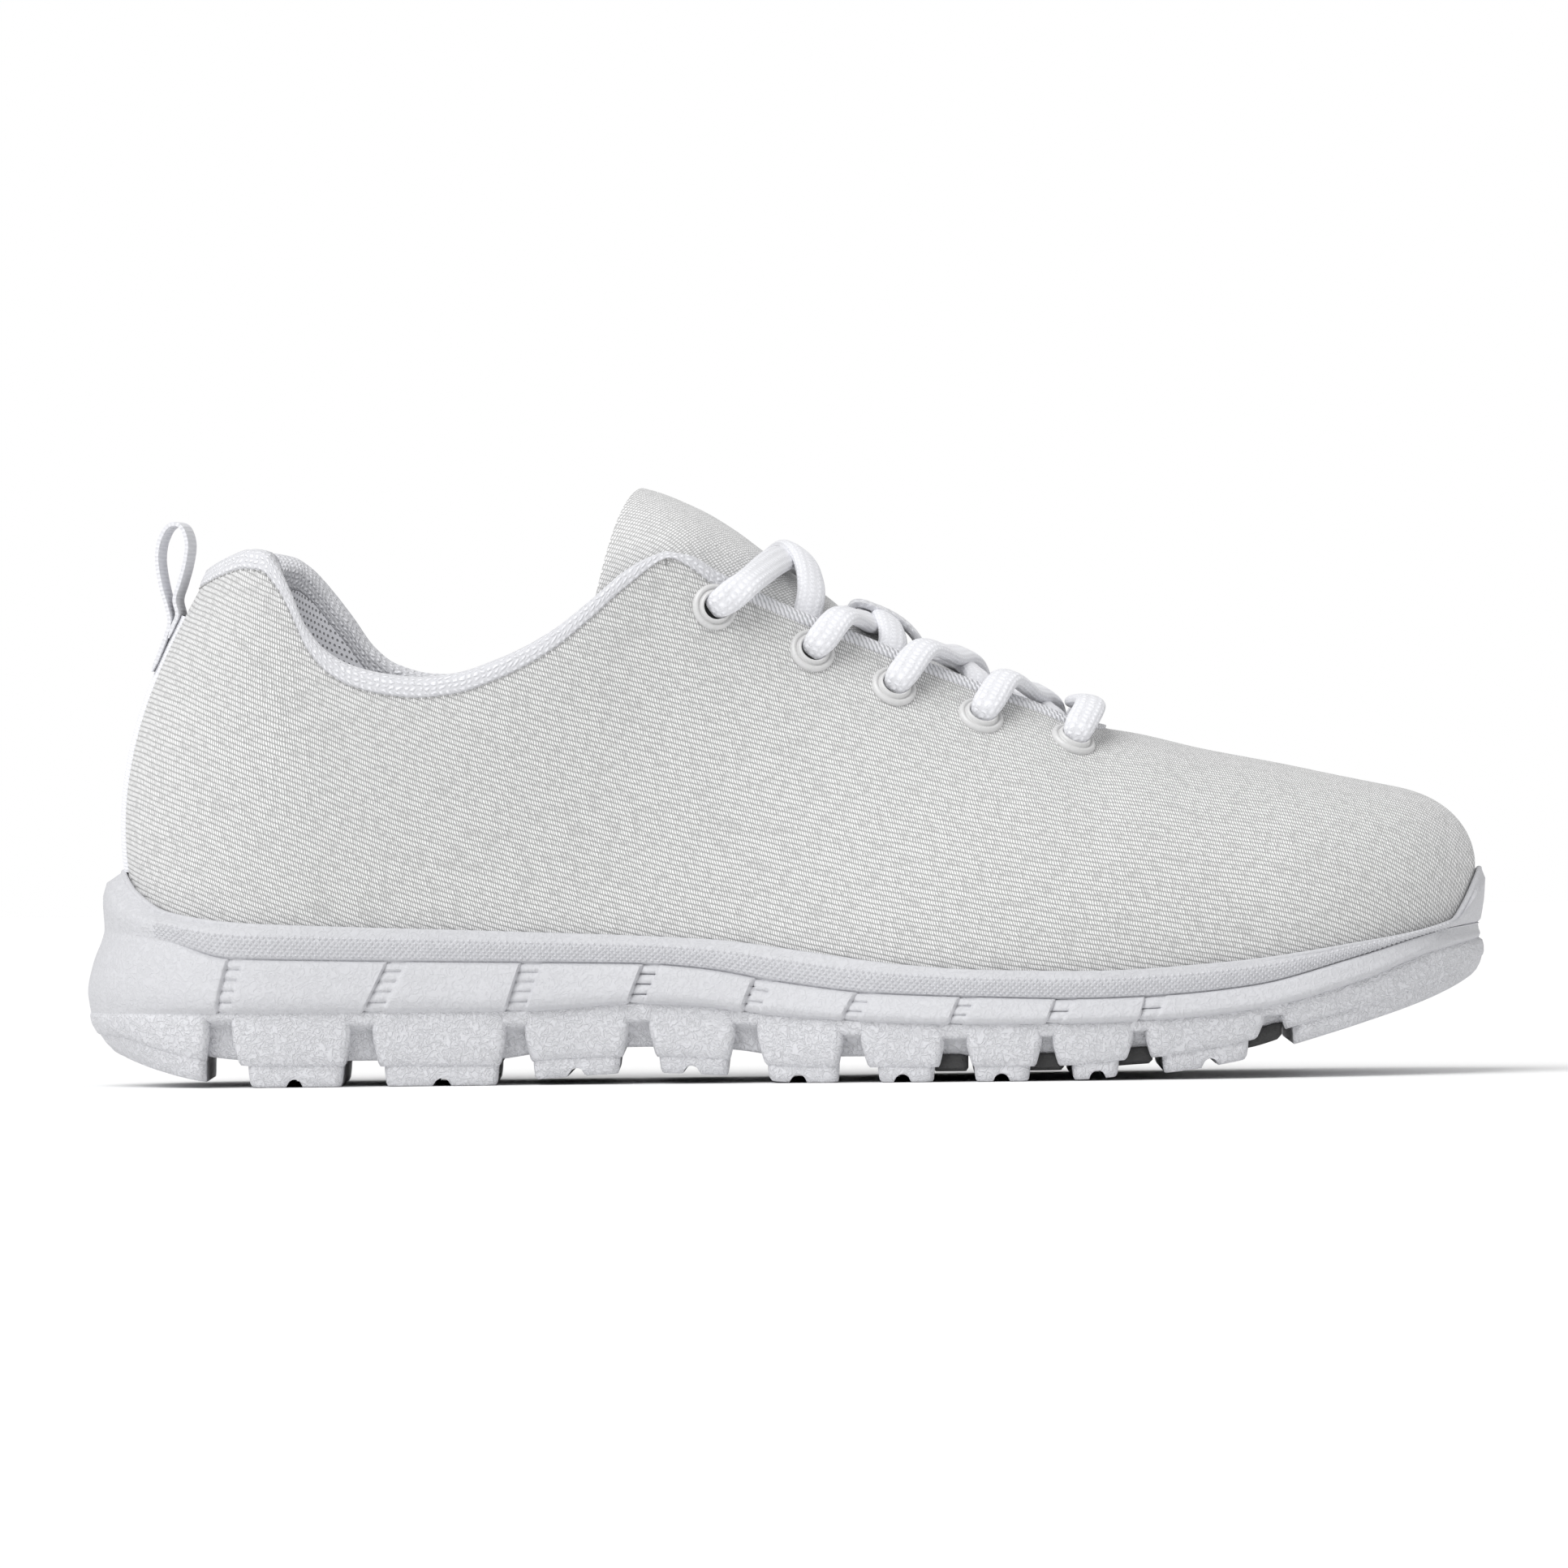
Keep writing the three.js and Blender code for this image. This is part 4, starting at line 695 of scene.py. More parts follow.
def build_midsole():
    """Moulded foam: panelled side wall, band seam, rolled lip, cup wall and footbed."""
    x = wall_stations()
    ring_x = np.concatenate([x, x[-2:0:-1]])
    side = np.concatenate([-np.ones(len(x)), np.ones(len(x) - 2)])
    low_x = np.interp(ring_x, np.array(SLOT_TOPS) * ALONG, np.array(SLOT_BOTTOMS) * ALONG)
    low_x[[0, len(x) - 1]] = HEEL, TOE
    panel_t = np.linspace(0.0, 1.0, 45)
    band_t = 1.0 + np.array([0.015, 0.03, 0.06, 0.12, 0.25, 0.4, 0.55, 0.68, 0.78])
    rows = []
    top_angle = angle_at(ring_x, side)
    height = BAND(ring_x) - TREAD(ring_x)
    seam = smooth(ring_x, -136 * ALONG, -118 * ALONG)
    for t in panel_t:
        angle = angle_at(lerp(low_x, ring_x, t), side)
        groove = -0.5 * smooth(t, 0.97, 1.0) * seam
        rows.append(sole_wall(angle, np.full_like(angle, t), panel_relief(ring_x, t, height) + groove))
    for t in band_t:
        groove = -0.5 * (1 - smooth(t, 1.0, 1.06)) * seam
        rows.append(sole_wall(top_angle, np.full_like(top_angle, t), groove))
    ux, uy, nx, ny = outline(top_angle, UPPER_HEEL, UPPER_TOE, FEATHER)
    lip, width = LIP(ux), facing(nx, LIP_SIDE, LIP_END, LIP_END)
    for out, drop in [(1.0, 0.75), (0.97, 0.35), (0.8, 0.08), (0.5, 0.0), (0.2, 0.08), (0.0, 0.4)]:
        outset = CLEARANCE + out * width
        rows.append(np.stack([ux + nx * outset, uy + ny * outset, lip - drop], -1))
    edge_x, edge_y = ux + nx * CLEARANCE, uy + ny * CLEARANCE
    bed = FOOTBED(edge_x) - RECESS
    rows.append(np.stack([edge_x, edge_y, bed], -1))
    for share in (0.6, 0.0):
        rows.append(np.stack([edge_x, lerp(SPINE(edge_x), edge_y, share), bed], -1))
    under = [np.stack([rows[0][:, 0], lerp(SPINE(rows[0][:, 0]), rows[0][:, 1], share),
                       TREAD(rows[0][:, 0]) + CLEARANCE / 2], -1) for share in (0.0, 0.6)]
    grid = np.stack(under + rows)
    girth = np.concatenate([[0], np.cumsum(np.hypot(*np.diff(grid[10][:, :2], axis=0).T))])
    u = np.append(girth, girth[-1] + 1.0)
    v = np.arange(len(grid)) * 0.4
    surface = Surface()
    surface.add_grid(grid, np.stack(np.broadcast_arrays(u[None], v[:, None]), -1), wrap_columns=True)
    piece = surface.make("midsole_foam", [finish("foam")], sharp=50)
    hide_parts("midsole")
    return piece


def build_diamond_band():
    """Knurled band: rows of small diamond studs set half a pitch apart, one pyramid each."""
    pitch, size, height = 1.3, 0.6, 0.34
    surface = Surface()
    step = 1e-3
    for row, t in enumerate(np.linspace(0.14, 0.66, 6)):
        for side in (-1, 1):
            fine = np.linspace(-134.0 * ALONG, 139.5 * ALONG, 4000)
            angle = angle_at(fine, side)
            path = sole_wall(angle, np.full_like(angle, 1.0 + t))
            run = np.concatenate([[0], np.cumsum(np.linalg.norm(np.diff(path, axis=0), axis=-1))])
            at = np.arange(0.5 * (row % 2) * pitch, run[-1], pitch)
            angle = np.interp(at, run, angle)
            tt = np.full_like(angle, 1.0 + t)
            centre = sole_wall(angle, tt)
            along = unit(sole_wall(angle + step, tt) - sole_wall(angle - step, tt))
            up = unit(sole_wall(angle, tt + 0.02) - sole_wall(angle, tt - 0.02))
            normal = unit(np.cross(along, up))
            tall = size * 0.98
            corners = np.stack([centre - along * size, centre - up * tall, centre + along * size,
                                centre + up * tall, centre + normal * height], 1)
            corners[:, :4] -= normal[:, None] * 0.05
            faces = np.array([[0, 1, 4], [1, 2, 4], [2, 3, 4], [3, 0, 4], [3, 2, 1], [3, 1, 0]])
            surface.add_copies(corners, faces)
    piece = surface.make("diamond_band", [finish("foam")], weld=False)
    piece.data.polygons.foreach_set("use_smooth", np.zeros(len(piece.data.polygons), bool))
    return piece


# Tread pods along the shoe: rear and front end, then rear and front end of the pad beneath.
PODS = [
    (HEEL, -121.5, HEEL, -123.2), (-116.7, -91.0, -113.3, -92.8), (-86.8, -58.6, -84.2, -60.4),
    (-55.1, -33.3, -53.2, -35.4), (-29.5, -11.5, -27.4, -13.2), (-7.3, 10.7, -5.4, 9.3),
    (14.1, 32.0, 17.5, 29.5), (36.3, 52.6, 38.0, 50.0), (54.5, 72.0, 58.8, 69.0),
    (74.3, 99.6, 78.2, 96.5), (103.0, TOE, 106.2, TOE)]
GROOVE_TOP = along_chart([
    (-119.2, 14), (-88.4, 12.8), (-56.8, 12.5), (-32, 13.2), (-9.2, 12.4), (12.5, 10),
    (34.7, 9.1), (54.1, 9.5), (73.2, 10.3), (101.1, 13.2)], UPWARD)
PAD_HEIGHT = along_chart([
    (-147, 4.6), (-60, 4), (-30, 3.4), (10, 3.2), (50, 3.1), (100, 3.8), (147, 2.6)], UPWARD)


def block_loop(back, front, inset, shrink, steps):
    """Closed plan loop between two stations: outer wall, front face, inner wall, rear face.
    The wall's inset is charted for side, heel and toe; corners are rounded by their distance."""
    back_end, front_end = back <= HEEL + 1e-6, front >= TOE - 1e-6
    first = HEEL if back_end else back + shrink
    last = TOE if front_end else front - shrink
    span = np.linspace(0.0, math.pi, steps)
    x = lerp(first, last, (1 - np.cos(span)) / 2)
    if back_end or front_end:
        swing = np.linspace(0.0, math.pi / 2, steps)
        x = lerp(first, last, 1 - np.cos(swing) if back_end else np.sin(swing))
    walls = []
    corner = 1.8
    for side in (-1, 1):
        px, py, nx, ny = outline(angle_at(x, side))
        depth = facing(nx, *inset)
        gap = np.full_like(x, corner)
        if not back_end:
            gap = np.minimum(gap, x - first)
        if not front_end:
            gap = np.minimum(gap, last - x)
        depth = depth + corner * (1 - np.sqrt(np.clip(1 - (1 - gap / corner) ** 2, 0, 1)))
        walls.append(np.stack([px - nx * depth, py - ny * depth], -1))
    outer, inner = walls[0], walls[1][::-1]
    share = np.linspace(0.0, 1.0, 14)[1:-1, None]
    parts = [outer]
    if not front_end:
        parts.append(lerp(outer[-1], inner[0], share))
    parts.append(inner[1:] if front_end else inner)
    if not back_end:
        parts.append(lerp(inner[-1], outer[0], share))
    else:
        parts[-1] = parts[-1][:-1]
    return np.concatenate(parts)


def add_block(surface, back, front, levels, notch=None, steps=36):
    """A block of tread: each level gives its share of the height, the insets and the end
    shrink. Its underside draws in to the middle, and a notch is a half-round channel."""
    rings = []
    for low, high, share, inset, shrink in levels:
        loop = block_loop(back, front, inset, shrink, steps)
        z = lerp(low(loop[:, 0]), high(loop[:, 0]), share)
        rings.append(np.concatenate([loop, z[:, None]], 1))
    bottom_low = levels[-1][0]
    last = rings[-1]
    centre = last[:, :2].mean(0)
    for share in (0.985, 0.6, 0.25, 0.0):
        flat = lerp(centre, last[:, :2], share)
        rings.append(np.concatenate([flat, bottom_low(flat[:, 0])[:, None]], 1))
    top = rings[0]
    crown = [np.concatenate([lerp(centre, top[:, :2], share), top[:, 2:]], 1) for share in (0.0, 0.7)]
    for ring in crown:
        ring[:, 2] = levels[0][1](ring[:, 0])
    grid = np.stack(crown + rings)
    if notch:
        notch_x, radius = notch
        depth = np.sqrt(np.clip(radius ** 2 - (grid[..., 0] - notch_x) ** 2, 0, None))
        floor = bottom_low(grid[..., 0]) + depth
        grid[2:, :, 2] = np.maximum(grid[2:, :, 2], np.where(depth[2:] > 0, floor[2:], -9))
    surface.add_grid(grid, None, wrap_columns=True, flip=True)


def ground_rise(rise):
    """Height above the tread's rolling line."""
    return lambda x: GROUND(x) + (rise(x) if callable(rise) else rise)


def tread_top(x):
    """Top face of the tread, pressed a little into the foam."""
    return TREAD(x) + 0.35


def build_outsole():
    """Tread pods with their pads."""
    surface = Surface()
    pad_line = ground_rise(PAD_HEIGHT)
    for number, pod in enumerate(PODS):
        back, front, pad_back, pad_front = (v if v in (HEEL, TOE) else v * ALONG for v in pod)
        ends = number in (0, len(PODS) - 1)
        steps = 90 if ends else 44
        pod_levels = [
            (pad_line, tread_top, 1.0, (1.35, 0.65, 1.65), 0.3),
            (pad_line, tread_top, 0.93, (1.2, 0.5, 1.4), 0.1),
            (pad_line, tread_top, 0.8, (1.15, 0.4, 0.8), 0.0),
            (pad_line, tread_top, 0.5, (1.3, 0.7, 0.5), 0.2),
            (pad_line, tread_top, 0.2, (1.85, 1.5, 0.5), 0.9),
            (pad_line, tread_top, 0.06, (2.2, 1.9, 0.7), 1.3),
            (pad_line, tread_top, 0.0, (2.8, 2.4, 1.1), 1.7),
        ]
        add_block(surface, back, front, pod_levels, steps=steps)
        pad_levels = [
            (GROUND, pad_line, 1.1, (2.8, 2.5, 1.0), 0.0),
            (GROUND, pad_line, 0.97, (2.8, 2.6, 1.0), 0.0),
            (GROUND, pad_line, 0.6, (2.7, 3.8, 1.3), 0.1),
            (GROUND, pad_line, 0.2, (3.0, 5.6, 2.1), 0.3),
            (GROUND, pad_line, 0.04, (3.5, 6.9, 2.9), 0.6),
            (GROUND, pad_line, 0.0, (4.1, 7.6, 3.6), 0.9),
        ]
        notch = None if ends else ((pad_back + pad_front) / 2, 1.7)
        add_block(surface, pad_back, pad_front, pad_levels, notch, steps=steps)
    piece = surface.make("tread_pods", [finish("rubber")], sharp=55)
    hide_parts("outsole")
    return piece


def build_tread_webs():
    """Recessed webs that join the pods across each groove, arched up at their lower edge."""
    surface = Surface()
    arch = ground_rise(5.4)
    for before, after in zip(PODS[:-1], PODS[1:]):
        back, front = before[1] * ALONG - 3.2, after[0] * ALONG + 3.2
        levels = [(GROOVE_TOP, tread_top, share, (inset,) * 3, 0.0)
                  for share, inset in ((1.0, 1.4), (0.3, 1.4), (0.0, 1.9))]
        levels += [(arch, GROOVE_TOP, share, (inset,) * 3, 0.0)
                   for share, inset in ((0.94, 3.0), (0.8, 5.0), (0.5, 5.8), (0.1, 6.3), (0.0, 7.0))]
        add_block(surface, back, front, levels, steps=14)
    piece = surface.make("tread_webs", [finish("rubber")], sharp=55)
    return piece


def build_inner_lugs():
    """Inner lugs that fill the foot of each forefoot groove behind the pads, coloured dark grey as painted
    shade of the groove.
    """
    surface = Surface()
    low, high = ground_rise(2.2), ground_rise(5.8)
    for before, after in zip(PODS[6:-1], PODS[7:]):
        back, front = before[3] * ALONG - 1.0, after[2] * ALONG - 1.5
        levels = [(low, high, share, (inset,) * 3, shrink) for share, inset, shrink in (
            (1.0, 5.9, 0.8), (0.85, 5.4, 0.0), (0.2, 5.4, 0.0), (0.0, 6.5, 0.6))]
        add_block(surface, back, front, levels, steps=14)
    # the lugs' dark grey finish is painted shade of the forefoot grooves
    piece = surface.make("inner_lugs", [finish("lug_shade_rubber")], sharp=55)
    return piece


def build_insole():
    """Loose fabric-topped footbed: rings inside the upper's foot, its rim slightly cupped."""
    angles = np.linspace(0.0, 2 * math.pi, 401)[:-1]
    x, y, nx, ny = outline(angles, UPPER_HEEL, UPPER_TOE, FEATHER)
    gap = WALL + CLEARANCE
    rings = []
    for inset, rise, share in [(0, 0, 0.0), (0, 0, 0.6), (0, 0, 1), (-0.1, 1.2, 1), (0.2, 3.2, 1),
                               (0.7, 3.9, 1), (1.5, 3.95, 1), (3.5, 3.6, 1), (3.5, 3.35, 0.85),
                               (3.5, 3.2, 0.6), (3.5, 3.15, 0.3), (3.5, 3.1, 0.0)]:
        px, py = x - nx * (gap + inset), y - ny * (gap + inset)
        py = lerp(SPINE(px), py, share)
        rings.append(np.stack([px, py, FOOTBED(px) - RECESS + CLEARANCE + rise], -1))
    surface = Surface()
    surface.add_grid(np.stack(rings), None, wrap_columns=True)
    piece = surface.make("insole_board", [finish("insole")])
    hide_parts("insole")
    return piece


# ---- Tongue -----------------------------------------------------------------------------------

TONGUE_FRONT, TONGUE_TIP, TONGUE_SWEEP = 76 * ALONG, -29.5 * ALONG, 18 * ALONG
TONGUE_THICKNESS = 4.0
WING, SHOULDER, LEAST_HALF = 0.22, 0.7, 11.0


def rib_at(x, side):
    """Ribs over given positions."""
    return ribs(angle_at(x, side, UPPER_HEEL, UPPER_TOE))


def under_eyestay(x, side, t):
    """Point under the wall at rib parameter t, clear of it by the lace's room."""
    points = rib_at(x, side)
    slope = unit(rib_speed(points, t))
    depth = WALL + PADDING(x) * smooth(t, 0.25, 0.9) + LACE_ROOM
    inward = unit(np.stack([np.zeros_like(t), -side * np.abs(slope[..., 2]), -np.abs(slope[..., 1])], -1))
    return on_rib(points, t) + inward * depth[..., None]


def shoulder_at(x, side):
    """Rib parameter where the tongue goes under the upper: the edge, or its least half width."""
    tries = np.linspace(1.0, 0.0, 161).reshape((-1,) + (1,) * np.ndim(x))
    y = on_rib(rib_at(x, side), np.broadcast_to(tries, (161,) + np.shape(x)))[..., 1]
    half = np.abs(y - SPINE(x))
    first = np.argmax(half >= LEAST_HALF, axis=0)
    last = np.maximum(first - 1, 0)
    wide, narrow = (np.take_along_axis(half, k[None], 0)[0] for k in (first, last))
    back = np.where(first > 0, (wide - LEAST_HALF) / np.maximum(wide - narrow, 1e-9), 0.0)
    return 1.0 - (first - np.clip(back, 0.0, 1.0)) / 160


def tongue_face(x, v):
    """Tongue's outer face: an elliptical arch from the spine to the shoulder, then a wing that
    follows the underside of the wall. v runs from -1 to 1 across."""
    side = np.where(v < 0, -1.0, 1.0)
    reach = np.abs(v)
    edge_t = shoulder_at(x, side)
    wing = under_eyestay(x, side, edge_t - WING * np.clip(reach - SHOULDER, 0, 1) / (1 - SHOULDER))
    edge = under_eyestay(x, side, edge_t)
    swing = np.minimum(reach / SHOULDER, 1.0) * math.pi / 2
    arch = np.stack([x, lerp(SPINE(x), edge[..., 1], np.sin(swing)),
                     lerp(edge[..., 2], TONGUE_CREST(x), np.cos(swing))], -1)
    return np.where((reach > SHOULDER)[..., None], wing, arch)


def tongue_top(x, y):
    """Height of the tongue's arch over a plan point."""
    side = np.where(y < SPINE(x), -1.0, 1.0)
    edge = under_eyestay(x, side, shoulder_at(x, side))
    share = np.minimum(1.0, np.abs(y - SPINE(x)) / np.abs(edge[..., 1] - SPINE(x)))
    return edge[..., 2] + (TONGUE_CREST(x) - edge[..., 2]) * np.sqrt(1.0 - share * share)


def grid_normals(points):
    """Unit normals of a grid, from the differences between its neighbours."""
    return unit(np.cross(np.gradient(points, axis=0), np.gradient(points, axis=1)))


def plate_loop(face, thickness, normals=None):
    """A closed section loop from a face and its back, a thickness below it."""
    normals = grid_normals(face) if normals is None else normals
    back = face - normals * thickness[..., None]
    return np.concatenate([face, back[:, ::-1]], 1)


def build_tongue():
    """Padded mesh tongue, its free end up and its wings under the eyestays."""
    share, v = np.meshgrid(np.linspace(0, 1, 130), np.linspace(-1, 1, 61), indexing="ij")
    reach = v * v / (np.abs(v) + 0.12)
    end = TONGUE_TIP - TONGUE_SWEEP * reach + 75 * np.clip(np.abs(v) - SHOULDER, 0, None) ** 1.5
    x = lerp(end, TONGUE_FRONT, share)
    face = tongue_face(x, v)
    normals = grid_normals(face)
    ends = np.minimum(1.0, 0.3 + 9.0 * np.sqrt(np.minimum(share, 1 - share) / 8 + 1e-9))
    wings = 0.1 + 0.2 * smooth(1 - np.abs(v), 0.0, 0.1) + 0.7 * smooth(1 - np.abs(v), 0.3, 0.6)
    thickness = TONGUE_THICKNESS * np.minimum(ends, wings)
    loop = plate_loop(face, thickness, normals)
    lengths, widths = (np.linalg.norm(np.diff(face, axis=axis), axis=-1) for axis in (0, 1))
    run = np.concatenate([np.zeros((1, face.shape[1])), np.cumsum(lengths, 0)])
    wide = np.concatenate([np.zeros((len(face), 1)), np.cumsum(widths, 1)], 1)
    middle = face.shape[1] // 2
    uv = np.stack([run, wide - wide[:, middle:middle + 1] + 0.22 * run], -1)
    uv = np.concatenate([uv, uv[:, ::-1], uv[:, :1]], 1)
    surface = Surface()
    surface.add_grid(loop, uv, wrap_columns=True)
    rows, columns = loop.shape[:2]
    for row, flip in ((0, False), (rows - 1, True)):
        front, back = loop[row, :columns // 2], loop[row, columns // 2:][::-1]
        bulge = lerp(front, back, 0.5)
        cap = np.stack([front, bulge, back])
        surface.add_grid(cap, np.zeros(cap.shape[:2] + (2,)), flip=not flip)
    piece = surface.make("tongue_pad", [finish("tongue")])
    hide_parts("tongue")
    return piece


# ---- Eyelets and laces --------------------------------------------------------------------

def eyestay(x, side, distance):
    """Point and normal on the eyestay, a distance down from the throat edge."""
    angle = np.asarray(angle_at(x, side, UPPER_HEEL, UPPER_TOE))
    return upper_frame(angle, below_edge(angle, np.full_like(angle, distance)))


EYELET_PROFILE = [
    (0.0, 0.32), (EYELET_BORE - 0.15, 0.32), (EYELET_BORE, 0.6), (EYELET_BORE + 0.02, 1.3),
    (EYELET_BORE + 0.15, 1.62), (EYELET_BORE + 0.4, 1.75), (EYELET_BORE + 0.65, 1.6),
    (EYELET_BORE + 0.8, 1.2), (EYELET_BORE + 0.9, 0.8), (EYELET_BORE + 1.05, 0.78),
    (EYELET_BORE + 1.2, 1.0), (EYELET_BORE + 1.45, 1.12), (EYELET_BORE + 1.85, 1.0),
    (EYELET_RADIUS - 0.12, 0.7), (EYELET_RADIUS - 0.01, 0.4), (EYELET_RADIUS, 0.1),
    (EYELET_RADIUS - 0.1, -0.4), (0.0, -0.4)]


BORE_PROFILE_STEPS = 2


def build_eyelets():
    """Moulded rings, one piece each: a profile with a raised inner bead, turned about the
    eyestay's normal."""
    turns = np.linspace(0, 2 * math.pi, 49)[:-1]
    radius, height = np.array(EYELET_PROFILE).T
    for row, (x, inset) in enumerate(zip(ROWS, ROW_INSETS)):
        for side, name in ((-1, "outer"), (1, "inner")):
            centre, normal = eyestay(x, side, inset)
            first = unit(np.cross(normal, [0.0, 0.0, 1.0]))
            second = np.cross(normal, first)
            spoke = np.cos(turns)[:, None] * first + np.sin(turns)[:, None] * second
            grid = centre + radius[:, None, None] * spoke + height[:, None, None] * normal
            surface = Surface()
            surface.add_grid(grid, None, wrap_columns=True,
                             kind=lambda i, _: np.where(i < BORE_PROFILE_STEPS, 1, 0))
            piece = surface.make(f"eyelet_ring_{name}_{row + 1}", [finish("eyelet"), finish("dark_hole")])
            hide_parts(f"eyelet_{name}_{row + 1}")


def spline(stops, steps):
    """Catmull-Rom curve through the stops with the same number of steps in each span."""
    stops = np.asarray(stops, float)
    padded = np.concatenate([2 * stops[:1] - stops[1:2], stops, 2 * stops[-1:] - stops[-2:-1]])
    a, b, c, d = padded[:-3], padded[1:-2], padded[2:-1], padded[3:]
    t = np.linspace(0, 1, steps + 1)[:-1][None, :, None]
    a, b, c, d = (p[:, None] for p in (a, b, c, d))
    curve = 0.5 * (2 * b + (c - a) * t + (2 * a - 5 * b + 4 * c - d) * t ** 2
                   + (3 * b - a - 3 * c + d) * t ** 3)
    return np.concatenate([curve.reshape(-1, stops.shape[1]), stops[-1:]])


def add_lace(surface, stops, steps=22, sides=28):
    """A flat round-edged lace: a superellipse section carried along the smooth curve through
    the stops, lying flat to their ups, gathered where a stop's width share is less than 1."""
    values = spline(np.array([np.concatenate([p, u, [w]]) for p, u, w in stops]), steps)
    path, up, share = values[:, :3], values[:, 3:6], values[:, 6]
    along = unit(np.gradient(path, axis=0))
    up = unit(up - along * np.sum(up * along, -1, keepdims=True))
    across = np.cross(along, up)
    turn = np.linspace(0, 2 * math.pi, sides + 1)[:-1]
    wide = np.sign(np.cos(turn)) * np.abs(np.cos(turn)) ** 0.8
    tall = np.sign(np.sin(turn)) * np.abs(np.sin(turn)) ** 0.9
    half_width = 0.5 * LACE_WIDTH * share
    half_height = 0.5 * LACE_THICKNESS * (1 + 0.5 * (1 - share))
    section = (across[:, None] * wide[None, :, None] * half_width[:, None, None]
               + up[:, None] * tall[None, :, None] * half_height[:, None, None])
    grid = path[:, None] + section
    caps = [np.repeat(path[k:k + 1, None], sides, 1) for k in (0, -1)]
    grid = np.concatenate([caps[0], grid, caps[1]])
    run = np.concatenate([[0, 0], np.cumsum(np.linalg.norm(np.diff(path, axis=0), axis=-1)), [0]])
    run[-1] = run[-2]
    v = turn.tolist() + [2 * math.pi]
    uv = np.stack(np.broadcast_arrays(run[:, None], np.array(v)[None] * LACE_WIDTH / math.pi), -1)
    surface.add_grid(grid, uv, wrap_columns=True, flip=True)
    return run[-1]


LACE_LIFT = CLEARANCE + LACE_THICKNESS / 2


def over_edge(x, side):
    """Stop above the throat edge."""
    rise = 2.3
    edge = top_edge(np.asarray(float(x)), side)
    _, normal = eyestay(x, side, 1.0)
    return edge + normal * (LACE_LIFT + rise), unit(normal + UPRIGHT)


def over_tongue(x, share, rise):
    """Stop on the tongue at x, a share of the way from its middle to the throat edge."""
    edge = top_edge(np.asarray(float(x)), -1.0 if share < 0 else 1.0)
    y = SPINE(x) + abs(edge[1] - SPINE(x)) * share
    step = 0.5
    slope_x = (tongue_top(x + step, y) - tongue_top(x - step, y)) / (2 * step)
    slope_y = (tongue_top(x, y + step) - tongue_top(x, y - step)) / (2 * step)
    up = unit(np.array([-float(slope_x), -float(slope_y), 1.0]))
    return np.array([x, float(y), float(tongue_top(x, y))]) + up * (LACE_LIFT + rise), up


def bore_stops(row, side, towards):
    """Stops up through an eyelet's bore and over its rim towards a point."""
    centre, normal = eyestay(ROWS[row], side, ROW_INSETS[row])
    way = towards - centre
    way = unit(way - normal * np.dot(way, normal))
    return [
        (centre - normal * 4.4, -way, 0.78),
        (centre - normal * 1.6 + way * 0.1, -way, 0.8),
        (centre + normal * 1.3 + way * 0.5, unit(normal * 0.25 - way), 0.88),
        (centre + normal * 3.3 + way * 2.4, unit(normal - way * 0.6), 1.0),
    ]


def strand_stops(row, side, rise):
    """From the bore of a row's eyelet, over its edge and the tongue, then under the far edge
    to the underside of the next row's eyelet."""
    at = lambda share: lerp(ROWS[row], ROWS[row + 1], share)
    landing = 0.78 if row == len(ROWS) - 2 else 0.97
    middle = 0.74 * landing
    edge = over_edge(at(0.4 * middle), side)
    stops = bore_stops(row, side, edge[0])
    stops.append((*edge, 1.0))
    stops.append((*over_tongue(at(0.8 * middle), 0.5 * side, rise), 1.0))
    stops.append((*over_tongue(at(middle), 0.0, rise), 1.0))
    stops.append((*over_tongue(at(lerp(middle, landing, 0.5)), -0.34 * side, rise), 1.0))
    stops.append((*over_tongue(at(lerp(middle, landing, 0.9)), -0.64 * side, 0.25), 1.0))
    for distance in (2.0, 6.5):
        point, normal = eyestay(at(lerp(landing, 1.0, distance / 6.5)), -side, distance)
        stops.append((point - normal * (WALL + 1.75), normal, 0.9))
    return stops


def build_laces():
    """Over-laced crossings, one piece each, and the straight bar at the toe end. Gives the
    lace's whole length."""
    total = 0.0
    for row in range(len(ROWS) - 1):
        surface = Surface()
        inner_on_top = row < 2
        for side in (-1, 1):
            top = (side > 0) == inner_on_top
            rise = 0.2 + (0.6 * LACE_THICKNESS if top else 0.0)
            total += add_lace(surface, strand_stops(row, side, rise))
        piece = surface.make(f"lace_cross_{row + 1}", [finish("lace")])
        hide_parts(f"lace_crossing_{row + 1}")
    x = ROWS[-1]
    edges = {side: over_edge(x, side) for side in (-1, 1)}
    lean = 2.0
    edges = {side: (point + np.array([lean, 0.0, 0.0]), up) for side, (point, up) in edges.items()}
    crest = max(edges[-1][0][2], float(TONGUE_CREST(x)) + LACE_LIFT) + 0.6
    middle = np.array([x + lean, float(SPINE(x)), crest])
    start = bore_stops(len(ROWS) - 1, -1, edges[-1][0])
    end = bore_stops(len(ROWS) - 1, 1, edges[1][0])[::-1]
    surface = Surface()
    total += add_lace(surface, start + [(*edges[-1], 1.0), (middle, UPRIGHT, 1.0), (*edges[1], 1.0)] + end)
    piece = surface.make("lace_straight", [finish("lace")])
    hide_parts("lace_bar")
    return total


